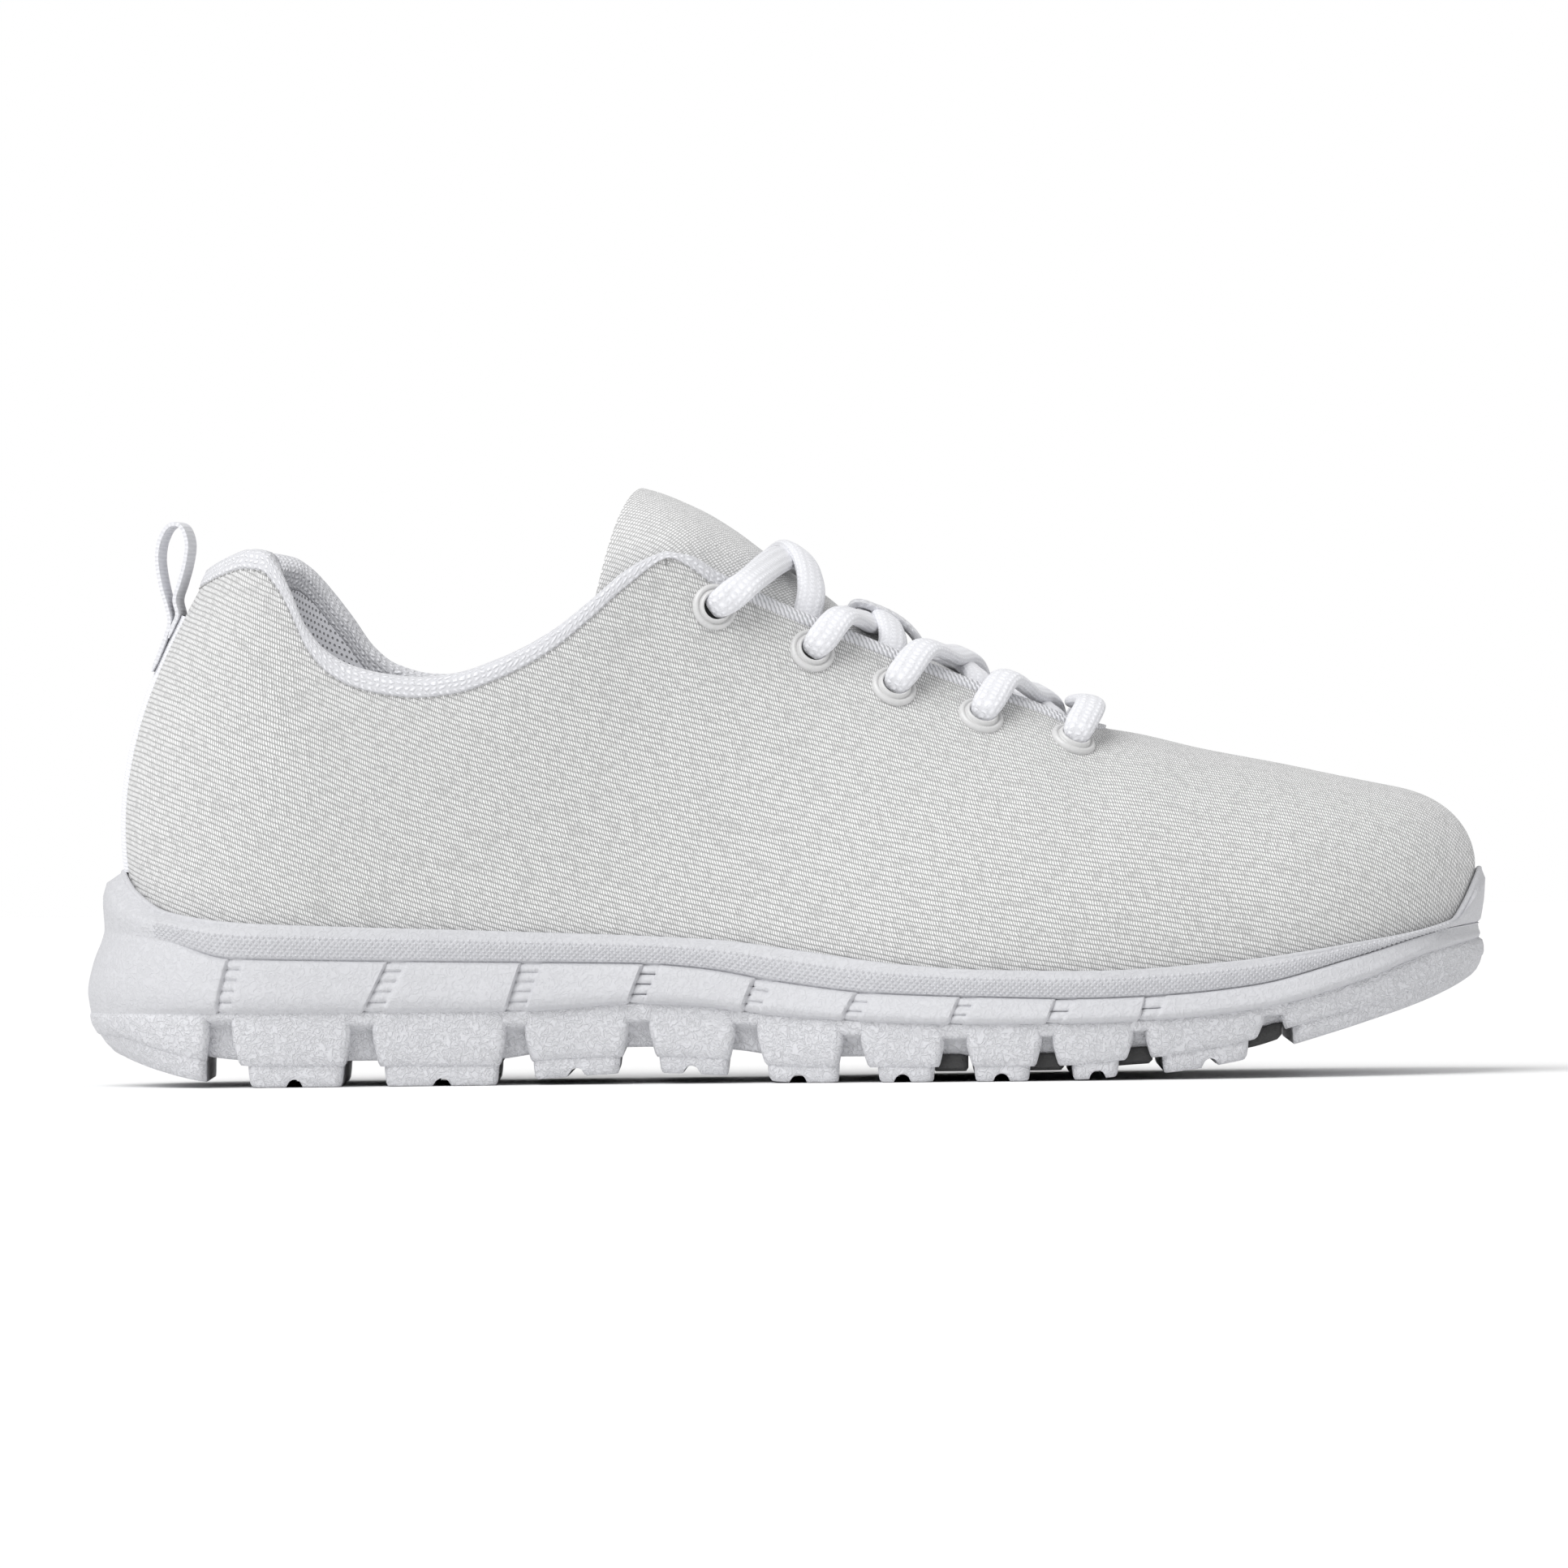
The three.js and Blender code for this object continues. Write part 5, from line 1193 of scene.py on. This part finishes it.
def build_keeper():
    """Knit strap along the tongue that arches over the second crossing, with both ends sewn."""
    centre = lerp(ROWS[1], ROWS[2], 0.94)
    half, width, thick = 8.6 * ALONG, 11.0, 1.9
    share, across = np.meshgrid(np.linspace(-1, 1, 60), np.linspace(-0.5, 0.5, 17), indexing="ij")
    x = centre + half * share
    lift = CLEARANCE + 1.45 * LACE_THICKNESS + thick
    arch = lerp(-0.4, lift, np.sqrt(1 - share * share))
    y = SPINE(x) + width * across
    round_edge = 0.35 * (1 - (2 * across) ** 6)
    face = np.stack([x, y, tongue_top(x, y) + arch + round_edge], -1)
    thickness = thick * (0.55 + 0.45 * (1 - (2 * across) ** 6))
    loop = plate_loop(face, thickness)
    uv = np.stack([half * share, width * across], -1)
    uv = np.concatenate([uv, uv[:, ::-1], uv[:, :1]], 1)
    surface = Surface()
    surface.add_grid(loop, uv, wrap_columns=True)
    for row, flip in ((0, True), (loop.shape[0] - 1, False)):
        half_count = loop.shape[1] // 2
        cap = np.stack([loop[row, :half_count], loop[row, half_count:][::-1]])
        surface.add_grid(cap, None, flip=flip)
    piece = surface.make("keeper_strap", [finish("binding")], sharp=60)
    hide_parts("lace_keeper")
    return piece


def build_heel_loop():
    """Pull loop: webbing that lies on the back seam, opens into a standing teardrop and comes
    down behind its own foot, its width slewed a little so that the near edge lies further back."""
    thick, width, slew = 1.0, 10.0, 0.14
    top = float(OUTER_TOPLINE(TOPLINE_BACK))
    column = on_rib(tuple(p[0] for p in ribs(np.array([0.0]))), np.linspace(0.0, 1.0, 400))

    def seam(rise, out):
        return np.interp(top + rise, column[:, 2], column[:, 0]) - out, 0.0, top + rise

    stops = [seam(-20, 0.7), seam(-16, 0.8), seam(-12.5, 1.2), seam(-9.5, 2.0)]
    stops += [(TOPLINE_BACK + back, 0.0, top + rise) for back, rise in [
        (-7.8, -6.2), (-8.7, -3), (-9.4, 0.6), (-9.7, 4), (-9.2, 7.3), (-7.8, 10.1), (-6.0, 11.0),
        (-4.3, 10.0), (-3.4, 6.8), (-3.9, 2.8), (-5.0, -1.2), (-6.1, -4.8)]]
    stops += [seam(-8.0, 1.2), seam(-10.5, 0.8), seam(-13, 0.45)]
    path = spline(stops, 10)
    along = unit(np.gradient(path, axis=0))
    out = np.stack([-along[:, 2], np.zeros(len(path)), along[:, 0]], -1)
    run = np.concatenate([[0], np.cumsum(np.linalg.norm(np.diff(path, axis=0), axis=-1))])
    across = np.linspace(-1, 1, 15)
    side = np.array([slew, 1.0, 0.0])
    ends = np.minimum(1.0, 0.3 + np.minimum(run, run[-1] - run) / 3.0)
    rim = 0.5 * thick * ends[:, None] * (0.72 + 0.28 * (1 - across ** 8))
    middle = path[:, None] - side * across[None, :, None] * width / 2
    face, under = middle + out[:, None] * rim[..., None], middle - out[:, None] * rim[..., None]
    loop = np.concatenate([face, under[:, ::-1]], 1)
    v = np.concatenate([across, across[::-1], across[:1]]) * width / 2
    uv = np.stack(np.broadcast_arrays(run[:, None], v[None]), -1)
    surface = Surface()
    surface.add_grid(loop, uv, wrap_columns=True)
    for row, flip in ((0, True), (len(path) - 1, False)):
        cap = np.stack([loop[row, :15], loop[row, 15:][::-1]])
        surface.add_grid(cap, None, flip=flip)
    piece = surface.make("pull_loop", [finish("webbing")], sharp=60)
    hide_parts("heel_loop")
    return piece


# ---- Materials ----------------------------------------------------------------------------

class Wire:
    """A node socket with arithmetic: an expression on wires adds its Math nodes."""

    def __init__(self, maker, socket):
        self.maker, self.socket = maker, socket

    def math(self, operation, *others):
        """One Math node with this wire as its first value."""
        sockets = {0: self}
        sockets.update({index + 1: other for index, other in enumerate(others)})
        return self.maker.node("ShaderNodeMath", {"operation": operation}, sockets)

    def __add__(self, other):
        return self.math("ADD", other)

    def __sub__(self, other):
        return self.math("SUBTRACT", other)

    def __mul__(self, other):
        return self.math("MULTIPLY", other)

    def __truediv__(self, other):
        return self.math("DIVIDE", other)

    def __pow__(self, other):
        return self.math("POWER", other)

    def __rsub__(self, other):
        return self.maker.node("ShaderNodeMath", {"operation": "SUBTRACT"}, {0: other, 1: self})

    __radd__ = __add__
    __rmul__ = __mul__

    def wave(self):
        """0 to 1 and back once for each whole step."""
        return (self * (2 * math.pi)).math("SINE") * 0.5 + 0.5


class Finish:
    """A material being wired: node() adds any node, its settings first and then its sockets."""

    def __init__(self, name, colour, roughness, **fixed):
        self.material = bpy.data.materials.new(name)
        self.material.use_nodes = True
        self.tree = self.material.node_tree
        self.tree.nodes.clear()
        self.shader = self.tree.nodes.new("ShaderNodeBsdfPrincipled")
        output = self.tree.nodes.new("ShaderNodeOutputMaterial")
        self.tree.links.new(self.shader.outputs[0], output.inputs[0])
        self.feed("Base Color", colour)
        self.feed("Roughness", roughness)
        for socket, value in fixed.items():
            self.feed(socket.replace("_", " "), value)

    def node(self, kind, settings=None, sockets=None, output=0):
        made = self.tree.nodes.new(kind)
        for key, value in (settings or {}).items():
            setattr(made, key, value)
        for key, value in (sockets or {}).items():
            self.set(made.inputs[key], value)
        return Wire(self, made.outputs[output])

    def set(self, socket, value):
        """Links a wire to a socket, or sets a number or colour on it."""
        if isinstance(value, Wire):
            self.tree.links.new(value.socket, socket)
        elif hasattr(socket.default_value, "__len__") and len(socket.default_value) == 4:
            socket.default_value = (*value[:3], 1.0)
        else:
            socket.default_value = value

    def feed(self, name, value):
        """Sets or links a socket of the shader."""
        self.set(self.shader.inputs[name], value)

    def here(self):
        """Object coordinates, in metres."""
        return self.node("ShaderNodeTexCoord", output="Object")

    def cloth(self):
        """The two cloth coordinates in millimetres."""
        uv = self.node("ShaderNodeUVMap", {"uv_map": "Cloth"})
        split = self.node("ShaderNodeSeparateXYZ", None, {0: uv})
        return split, Wire(self, split.socket.node.outputs[1])

    def noise(self, scale, detail=2.0, rough=0.5, vector=None, distortion=0.0):
        """Noise from 0 to 1; scale is in cells per metre of the vector."""
        return self.node("ShaderNodeTexNoise", {"noise_dimensions": "3D"},
                         {"Vector": vector or self.here(), "Scale": scale, "Detail": detail,
                          "Roughness": rough, "Distortion": distortion})

    def step(self, value, low, high):
        """0 below low and 1 above high, smooth between."""
        return self.node("ShaderNodeMapRange", {"interpolation_type": "SMOOTHSTEP"},
                         {"Value": value, "From Min": low, "From Max": high})

    def mix(self, factor, first, second):
        """Colour mix."""
        return self.node("ShaderNodeMix", {"data_type": "RGBA"}, {0: factor, 6: first, 7: second}, output=2)

    def bump(self, height, distance, strength=1.0):
        """Feeds a height from 0 to 1 to the normal, with its depth in metres."""
        self.feed("Normal", self.node("ShaderNodeBump", None,
                                      {"Height": height, "Distance": distance, "Strength": strength}))


def shade(value, tint=(1.0, 1.0, 1.0)):
    """Linear colour that shows as a display grey from 0 to 255 in this light, times a tint."""
    v = value / 255.0
    linear = v / 12.92 if v <= 0.04045 else ((v + 0.055) / 1.055) ** 2.4
    return tuple(linear * EXPOSURE * t for t in tint)


COOL = (0.985, 0.99, 1.03)
EXPOSURE = 0.94


def colours():
    """The shoe's colours as set in its panel."""
    return bpy.context.scene.running_shoe


def knit_finish(name, gap, light, pitch, dash, slant):
    """Knit mesh: rows along u, a pitch apart, with a grey gap between them, each row made of
    slanting dashes that come and go with a fine noise."""
    made = Finish(name, shade(200), 0.9, Sheen_Weight=0.25, Sheen_Roughness=0.5, Specular_IOR_Level=0.2)
    u, v = made.cloth()
    here = made.here()
    drift = made.noise(55.0, 1.0, vector=here)
    blot = made.noise(640.0, 2.0, 0.6, vector=here)
    row = v / pitch + drift * 0.9 + blot * 0.22
    phase = row.math("FRACT")
    crest = 1 - ((phase * 2 - 1).math("ABSOLUTE") ** 3.0)
    dashes = (u / dash + row * slant + blot * 1.2).wave()
    speck = made.step(blot, 0.36, 0.6)
    body = crest * (0.1 + 0.9 * made.step(dashes * (0.5 + 0.5 * speck), 0.12, 0.6))
    colour = made.mix(body, gap, light)
    made.feed("Base Color", colour)
    made.bump(crest * 0.6 + body * 0.4, 0.00022, 0.8)
    return made.material


def knit():
    """The upper's knit mesh."""
    tint = colours()
    return knit_finish("knit_mesh", tint.mesh_gap, tint.mesh_light, 1.05, 0.52, 0.5)


def tongue():
    """The tongue's knit, a little lighter between its rows."""
    tint = colours()
    gap = tuple(lerp(a, b, 0.18) for a, b in zip(tint.mesh_gap, tint.mesh_light))
    return knit_finish("tongue_mesh", gap, tint.mesh_light, 0.98, 0.6, -0.4)


def lining():
    """Open mesh lining: staggered long holes, painted darker inside as painted shade."""
    made = Finish("lining_mesh", shade(214, COOL), 0.9, Sheen_Weight=0.2, Specular_IOR_Level=0.2)
    u, v = made.cloth()
    row = v / 1.35
    shift = row.math("FLOOR") * 0.5
    hole = ((row * 1.0).wave()) * ((u / 1.25 + shift).wave())
    mask = made.step(hole, 0.45, 0.8)
    # the holes' dark grey is painted shade inside them
    made.feed("Base Color", made.mix(mask, shade(244, COOL), shade(150, COOL)))
    made.bump(1 - mask, 0.0003, 0.8)
    return made.material


def binding():
    """Loopy white knit: short slanted loops in rows, softened by noise."""
    made = Finish("binding_knit", shade(232, COOL), 0.92, Sheen_Weight=0.3, Specular_IOR_Level=0.2)
    u, v = made.cloth()
    here = made.here()
    blot = made.noise(700.0, 2.0, 0.6, vector=here)
    slant = (v * 0.9).math("PINGPONG", 1.0) * 0.35
    loops = (u / 1.5 + slant + blot * 1.1).wave() * (v / 1.1 + blot * 1.2).wave()
    light = made.step(loops, 0.05, 0.6)
    made.feed("Base Color", made.mix(light * 0.8 + blot * 0.2, shade(214, COOL), shade(252, COOL)))
    made.bump(loops * 0.7 + blot * 0.3, 0.0005, 0.8)
    return made.material


def edging():
    """Ribbed white edging, its ribs shaped in the mesh and lined by a fine slanting weave."""
    made = Finish("edging_knit", shade(238, COOL), 0.9, Sheen_Weight=0.3, Specular_IOR_Level=0.2)
    u, v = made.cloth()
    line = (u / 1.2 + v * 0.45).wave()
    mask = made.step(line, 0.0, 0.45)
    made.feed("Base Color", made.mix(mask, shade(196, COOL), shade(248, COOL)))
    made.bump(line, 0.0004, 0.7)
    return made.material


def thread():
    """Fuzzy grey thread, its grey partly the thread's own and partly painted shade of the needle holes."""
    made = Finish("collar_thread", shade(120), 0.8)
    fuzz = made.noise(2500.0)
    # grey stitches: partly thread colour, partly painted shade of the needle holes
    made.feed("Base Color", made.mix(fuzz, shade(165), shade(195)))
    return made.material


def webbing():
    """Woven strip: fine cross ribs and staggered yarns."""
    made = Finish("webbing_weave", shade(220, COOL), 0.75, Sheen_Weight=0.2, Specular_IOR_Level=0.3)
    u, v = made.cloth()
    rib = (u / 0.9).wave()
    yarn = (v / 0.55 + (u / 0.9).math("FLOOR") * 0.5).wave()
    weave = rib * 0.6 + yarn * 0.4
    made.feed("Base Color", made.mix(weave, shade(234, COOL), shade(252, COOL)))
    made.bump(weave, 0.0002, 0.6)
    return made.material


def lace():
    """Soft flat-woven lace: a fine herringbone under a fuzzy nap."""
    made = Finish("lace_weave", shade(236, COOL), 0.9, Sheen_Weight=0.35, Sheen_Roughness=0.4,
                  Specular_IOR_Level=0.2)
    u, v = made.cloth()
    here = made.here()
    nap = made.noise(1500.0, 3.0, 0.7, vector=here)
    row = v / 1.0 + nap * 0.5
    loops = row.wave() * (u / 1.15 + row.math("FLOOR") * 0.5 + nap * 0.7).wave()
    light = made.step(loops * 0.7 + nap * 0.3, 0.08, 0.5)
    made.feed("Base Color", made.mix(light * 0.6 + nap * 0.4, shade(226, COOL), shade(254, COOL)))
    made.bump(loops * 0.5 + nap * 0.5, 0.0004, 0.7)
    return made.material


def moulded(name, colour, grain_scale, grain_depth, roughness):
    """Moulded foam or rubber: a wormy pebble grain, its colour a touch darker in the hollows as painted
    shade and mottled at random by a broad noise.
    """
    made = Finish(name, colour, roughness, Specular_IOR_Level=0.35)
    here = made.here()
    worm = made.noise(grain_scale, 2.0, 0.55, vector=here, distortion=1.6)
    grain = made.step(worm, 0.38, 0.6)
    broad = made.noise(28.0, 2.0, vector=here)
    # darker colour: painted shade in the grain's hollows, plus a random broad mottle
    hollow_shade_and_mottle = tuple(c * 0.93 for c in colour)
    made.feed("Base Color", made.mix(grain * 0.7 + broad * 0.3, hollow_shade_and_mottle, colour))
    made.feed("Roughness", grain * 0.12 + (roughness - 0.06))
    made.bump(grain * 0.8 + worm * 0.2, grain_depth, 0.7)
    return made.material


def foam():
    """Moulded foam with a fine grain."""
    return moulded("sole_foam", tuple(colours().foam), 700.0, 0.00012, 0.55)


def rubber():
    """Moulded rubber with a deeper pebble grain."""
    return moulded("tread_rubber", tuple(colours().rubber), 780.0, 0.0004, 0.6)


def lug_shade_rubber():
    """Rubber of the inner lugs, painted dark grey as painted shade for the shadow deep in the forefoot
    grooves.
    """
    # dark grey here is painted shade, not the rubber's own colour
    return moulded("inner_lug_painted_shade", shade(66), 800.0, 0.0001, 0.6)


def dark_hole():
    """Shadow inside an eyelet's bore."""
    made = Finish("bore_shadow", shade(22), 0.9)
    made.feed("Base Color", made.mix(made.noise(900.0), shade(12), shade(34)))
    return made.material


def eyelet():
    """Glossy moulded plastic with a faint haze."""
    made = Finish("eyelet_plastic", tuple(colours().eyelet), 0.25, Specular_IOR_Level=0.6)
    haze = made.noise(900.0)
    made.feed("Roughness", haze * 0.16 + 0.2)
    made.bump(haze, 0.00002, 0.4)
    return made.material


def insole():
    """Felted fabric of small cells."""
    made = Finish("insole_fabric", shade(214, COOL), 0.92, Sheen_Weight=0.2, Specular_IOR_Level=0.2)
    cells = made.node("ShaderNodeTexVoronoi", {"feature": "F1"}, {"Vector": made.here(), "Scale": 900.0})
    made.feed("Base Color", made.mix(cells, shade(226, COOL), shade(190, COOL)))
    made.bump(1 - cells, 0.0002, 0.6)
    return made.material


def floor():
    """Pale matt floor."""
    made = Finish("studio_floor", (0.96, 0.96, 0.96), 0.7, Specular_IOR_Level=0.1)
    grain = made.noise(6.0)
    made.feed("Roughness", grain * 0.1 + 0.65)
    return made.material


MAKERS = {made.__name__: made for made in (
    knit, tongue, lining, binding, edging, thread, webbing, lace, foam, rubber, lug_shade_rubber,
    dark_hole, eyelet, insole, floor)}
FINISHES = {}


def finish(name):
    """The named material, wired on first use."""
    if name not in FINISHES:
        FINISHES[name] = MAKERS[name]()
    return FINISHES[name]


# ---- Stage ----------------------------------------------------------------------------------

KEY_DIRECTION = (0.45, 0.5, -0.8)
KEY_SOFTNESS = math.radians(50)


def build_camera(settings):
    """A long lens level with the shoe's middle, rolled so that the toe stands a touch higher."""
    data = bpy.data.cameras.new("camera")
    data.sensor_width = 36.0
    data.lens = data.sensor_width * settings.camera_distance / settings.frame_width
    data.clip_end = 20.0
    camera = bpy.data.objects.new("camera", data)
    bpy.context.scene.collection.objects.link(camera)
    roll = settings.camera_roll
    right = Vector((math.cos(roll), 0.0, -math.sin(roll)))
    up = Vector((math.sin(roll), 0.0, math.cos(roll)))
    back = right.cross(up)
    turn = Matrix((right, up, back)).transposed().to_4x4()
    aim = Vector((settings.camera_aim[0], 0.0, settings.camera_aim[1]))
    camera.matrix_world = Matrix.Translation(aim + back * settings.camera_distance) @ turn
    bpy.context.scene.camera = camera
    return camera


def build_floor(settings):
    """A wide pale floor at the height that the shoe stands on."""
    half = settings.floor_width / 2
    mesh = bpy.data.meshes.new("floor")
    corners = np.array([(-1, -1, 0), (1, -1, 0), (1, 1, 0), (-1, 1, 0)], float) * half
    mesh.from_pydata(corners.tolist(), [], [(0, 1, 2, 3)])
    mesh.materials.append(finish("floor"))
    piece = bpy.data.objects.new("floor", mesh)
    bpy.context.scene.collection.objects.link(piece)
    return piece


def build_sun(name, direction, strength, softness):
    """A soft distant light shining along a direction."""
    data = bpy.data.lights.new(name, "SUN")
    data.energy, data.angle = strength, softness
    lamp = bpy.data.objects.new(name, data)
    bpy.context.scene.collection.objects.link(lamp)
    lamp.rotation_mode = "QUATERNION"
    lamp.rotation_quaternion = Vector(direction).to_track_quat("-Z", "Y")
    return lamp


def build_world(settings):
    """Surroundings that look white and light the shoe evenly but less strongly."""
    world = bpy.data.worlds.new("surroundings")
    world.use_nodes = True
    tree = world.node_tree
    sky = tree.nodes["Background"]
    sky.inputs["Color"].default_value = (1.0, 1.0, 1.0, 1.0)
    path = tree.nodes.new("ShaderNodeLightPath")
    strength = tree.nodes.new("ShaderNodeMapRange")
    strength.inputs["To Min"].default_value = settings.surround
    strength.inputs["To Max"].default_value = 1.0
    tree.links.new(path.outputs["Is Camera Ray"], strength.inputs["Value"])
    tree.links.new(strength.outputs["Result"], sky.inputs["Strength"])
    bpy.context.scene.world = world
    bpy.context.scene.view_settings.view_transform = "Standard"


# ---- Add-on -----------------------------------------------------------------------------------

def colour_property(name, description, value):
    """A linear colour with its default."""
    return bpy.props.FloatVectorProperty(name=name, description=description, subtype="COLOR",
                                         size=3, min=0.0, max=1.0, default=value)


class ShoeSettings(bpy.types.PropertyGroup):
    """Colours of the running shoe."""

    mesh_gap: colour_property("Mesh gap", "Knit between the rows", shade(172))
    mesh_light: colour_property("Mesh rows", "Knit on the rows", shade(252))
    foam: colour_property("Foam", "Moulded midsole", shade(211, COOL))
    rubber: colour_property("Rubber", "Tread pods", shade(224, COOL))
    eyelet: colour_property("Eyelets", "Moulded rings", shade(216))


class StageSettings(bpy.types.PropertyGroup):
    """Camera, floor and light."""

    camera_distance: bpy.props.FloatProperty(
        name="Camera distance", description="From the lens to the shoe's middle", default=3.0,
        unit="LENGTH")
    frame_width: bpy.props.FloatProperty(
        name="Frame width", description="Width seen at the shoe's middle", default=0.3304, unit="LENGTH")
    camera_roll: bpy.props.FloatProperty(
        name="Camera roll", description="Turn about the line of sight",
        default=math.radians(0.6), unit="ROTATION")
    camera_aim: bpy.props.FloatVectorProperty(
        name="Camera aim", description="Point aimed at, along and up", size=2,
        default=(-0.00045, 0.06217), unit="LENGTH")
    floor_width: bpy.props.FloatProperty(
        name="Floor width", description="Side of the floor", default=8.0, unit="LENGTH")
    surround: bpy.props.FloatProperty(
        name="Surroundings", description="Brightness of the surroundings' light", default=0.6)
    key: bpy.props.FloatProperty(
        name="Key light", description="Strength of the soft light from the heel side", default=2.1)


class BuildOperator:
    """What the building operators share: no options, errors raised as they are."""

    bl_options = {"REGISTER"}

    def execute(self, context):
        self.build(context.scene.running_shoe)
        return {"FINISHED"}


class SHOE_OT_stage(bpy.types.Operator):
    """Set up the camera, floor, lights and surroundings"""

    bl_idname = "running_shoe.stage"
    bl_label = "Stage"

    def execute(self, context):
        settings = context.scene.running_shoe_stage
        build_camera(settings)
        build_floor(settings)
        build_world(settings)
        build_sun("key_light", KEY_DIRECTION, settings.key, KEY_SOFTNESS)
        return {"FINISHED"}


class SHOE_OT_midsole(BuildOperator, bpy.types.Operator):
    """Build the moulded foam midsole and its diamond band"""

    bl_idname = "running_shoe.midsole"
    bl_label = "Midsole"

    def build(self, settings):
        build_midsole()
        build_diamond_band()


class SHOE_OT_outsole(BuildOperator, bpy.types.Operator):
    """Build the tread pods, webs and inner lugs"""

    bl_idname = "running_shoe.outsole"
    bl_label = "Outsole"

    def build(self, settings):
        build_outsole()
        build_tread_webs()
        build_inner_lugs()


class SHOE_OT_insole(BuildOperator, bpy.types.Operator):
    """Build the loose insole"""

    bl_idname = "running_shoe.insole"
    bl_label = "Insole"

    def build(self, settings):
        build_insole()


class SHOE_OT_upper(BuildOperator, bpy.types.Operator):
    """Build the knit upper, its bindings, edging and stitches"""

    bl_idname = "running_shoe.upper"
    bl_label = "Upper"

    def build(self, settings):
        build_upper()
        build_collar_binding()
        build_throat_edging()
        build_collar_stitches()


class SHOE_OT_tongue(BuildOperator, bpy.types.Operator):
    """Build the padded tongue and the strap that keeps the lace on it"""

    bl_idname = "running_shoe.tongue"
    bl_label = "Tongue"

    def build(self, settings):
        build_tongue()
        build_keeper()


class SHOE_OT_eyelets(BuildOperator, bpy.types.Operator):
    """Build the moulded eyelets"""

    bl_idname = "running_shoe.eyelets"
    bl_label = "Eyelets"

    def build(self, settings):
        build_eyelets()


class SHOE_OT_laces(BuildOperator, bpy.types.Operator):
    """Run the lace through the eyelets"""

    bl_idname = "running_shoe.laces"
    bl_label = "Laces"

    def build(self, settings):
        build_laces()


class SHOE_OT_heel(BuildOperator, bpy.types.Operator):
    """Build the pull loop and the strip down the back seam"""

    bl_idname = "running_shoe.heel"
    bl_label = "Heel Webbing"

    def build(self, settings):
        build_heel_loop()
        build_heel_strip()


OPERATORS = (SHOE_OT_stage, SHOE_OT_midsole, SHOE_OT_outsole, SHOE_OT_insole, SHOE_OT_upper,
             SHOE_OT_tongue, SHOE_OT_eyelets, SHOE_OT_laces, SHOE_OT_heel)


class SHOE_PT_panel(bpy.types.Panel):
    """Running shoe builders and settings"""

    bl_idname = "SHOE_PT_panel"
    bl_label = "Running Shoe"
    bl_space_type = "VIEW_3D"
    bl_region_type = "UI"
    bl_category = "Running Shoe"

    def draw(self, context):
        for settings in (context.scene.running_shoe, context.scene.running_shoe_stage):
            for name in settings.__annotations__:
                self.layout.prop(settings, name)
        for each in OPERATORS:
            self.layout.operator(each.bl_idname)


CLASSES = (ShoeSettings, StageSettings) + OPERATORS + (SHOE_PT_panel,)


def register():
    """Add the classes and the scene's settings."""
    for each in CLASSES:
        bpy.utils.register_class(each)
    bpy.types.Scene.running_shoe = bpy.props.PointerProperty(type=ShoeSettings)
    bpy.types.Scene.running_shoe_stage = bpy.props.PointerProperty(type=StageSettings)


def unregister():
    """Take the settings and classes away again."""
    del bpy.types.Scene.running_shoe_stage
    del bpy.types.Scene.running_shoe
    for each in reversed(CLASSES):
        bpy.utils.unregister_class(each)


def main():
    """Register, then build everything in order."""
    register()
    for each in OPERATORS:
        getattr(bpy.ops.running_shoe, each.bl_idname.split(".")[1])()


if __name__ == "__main__":
    main()
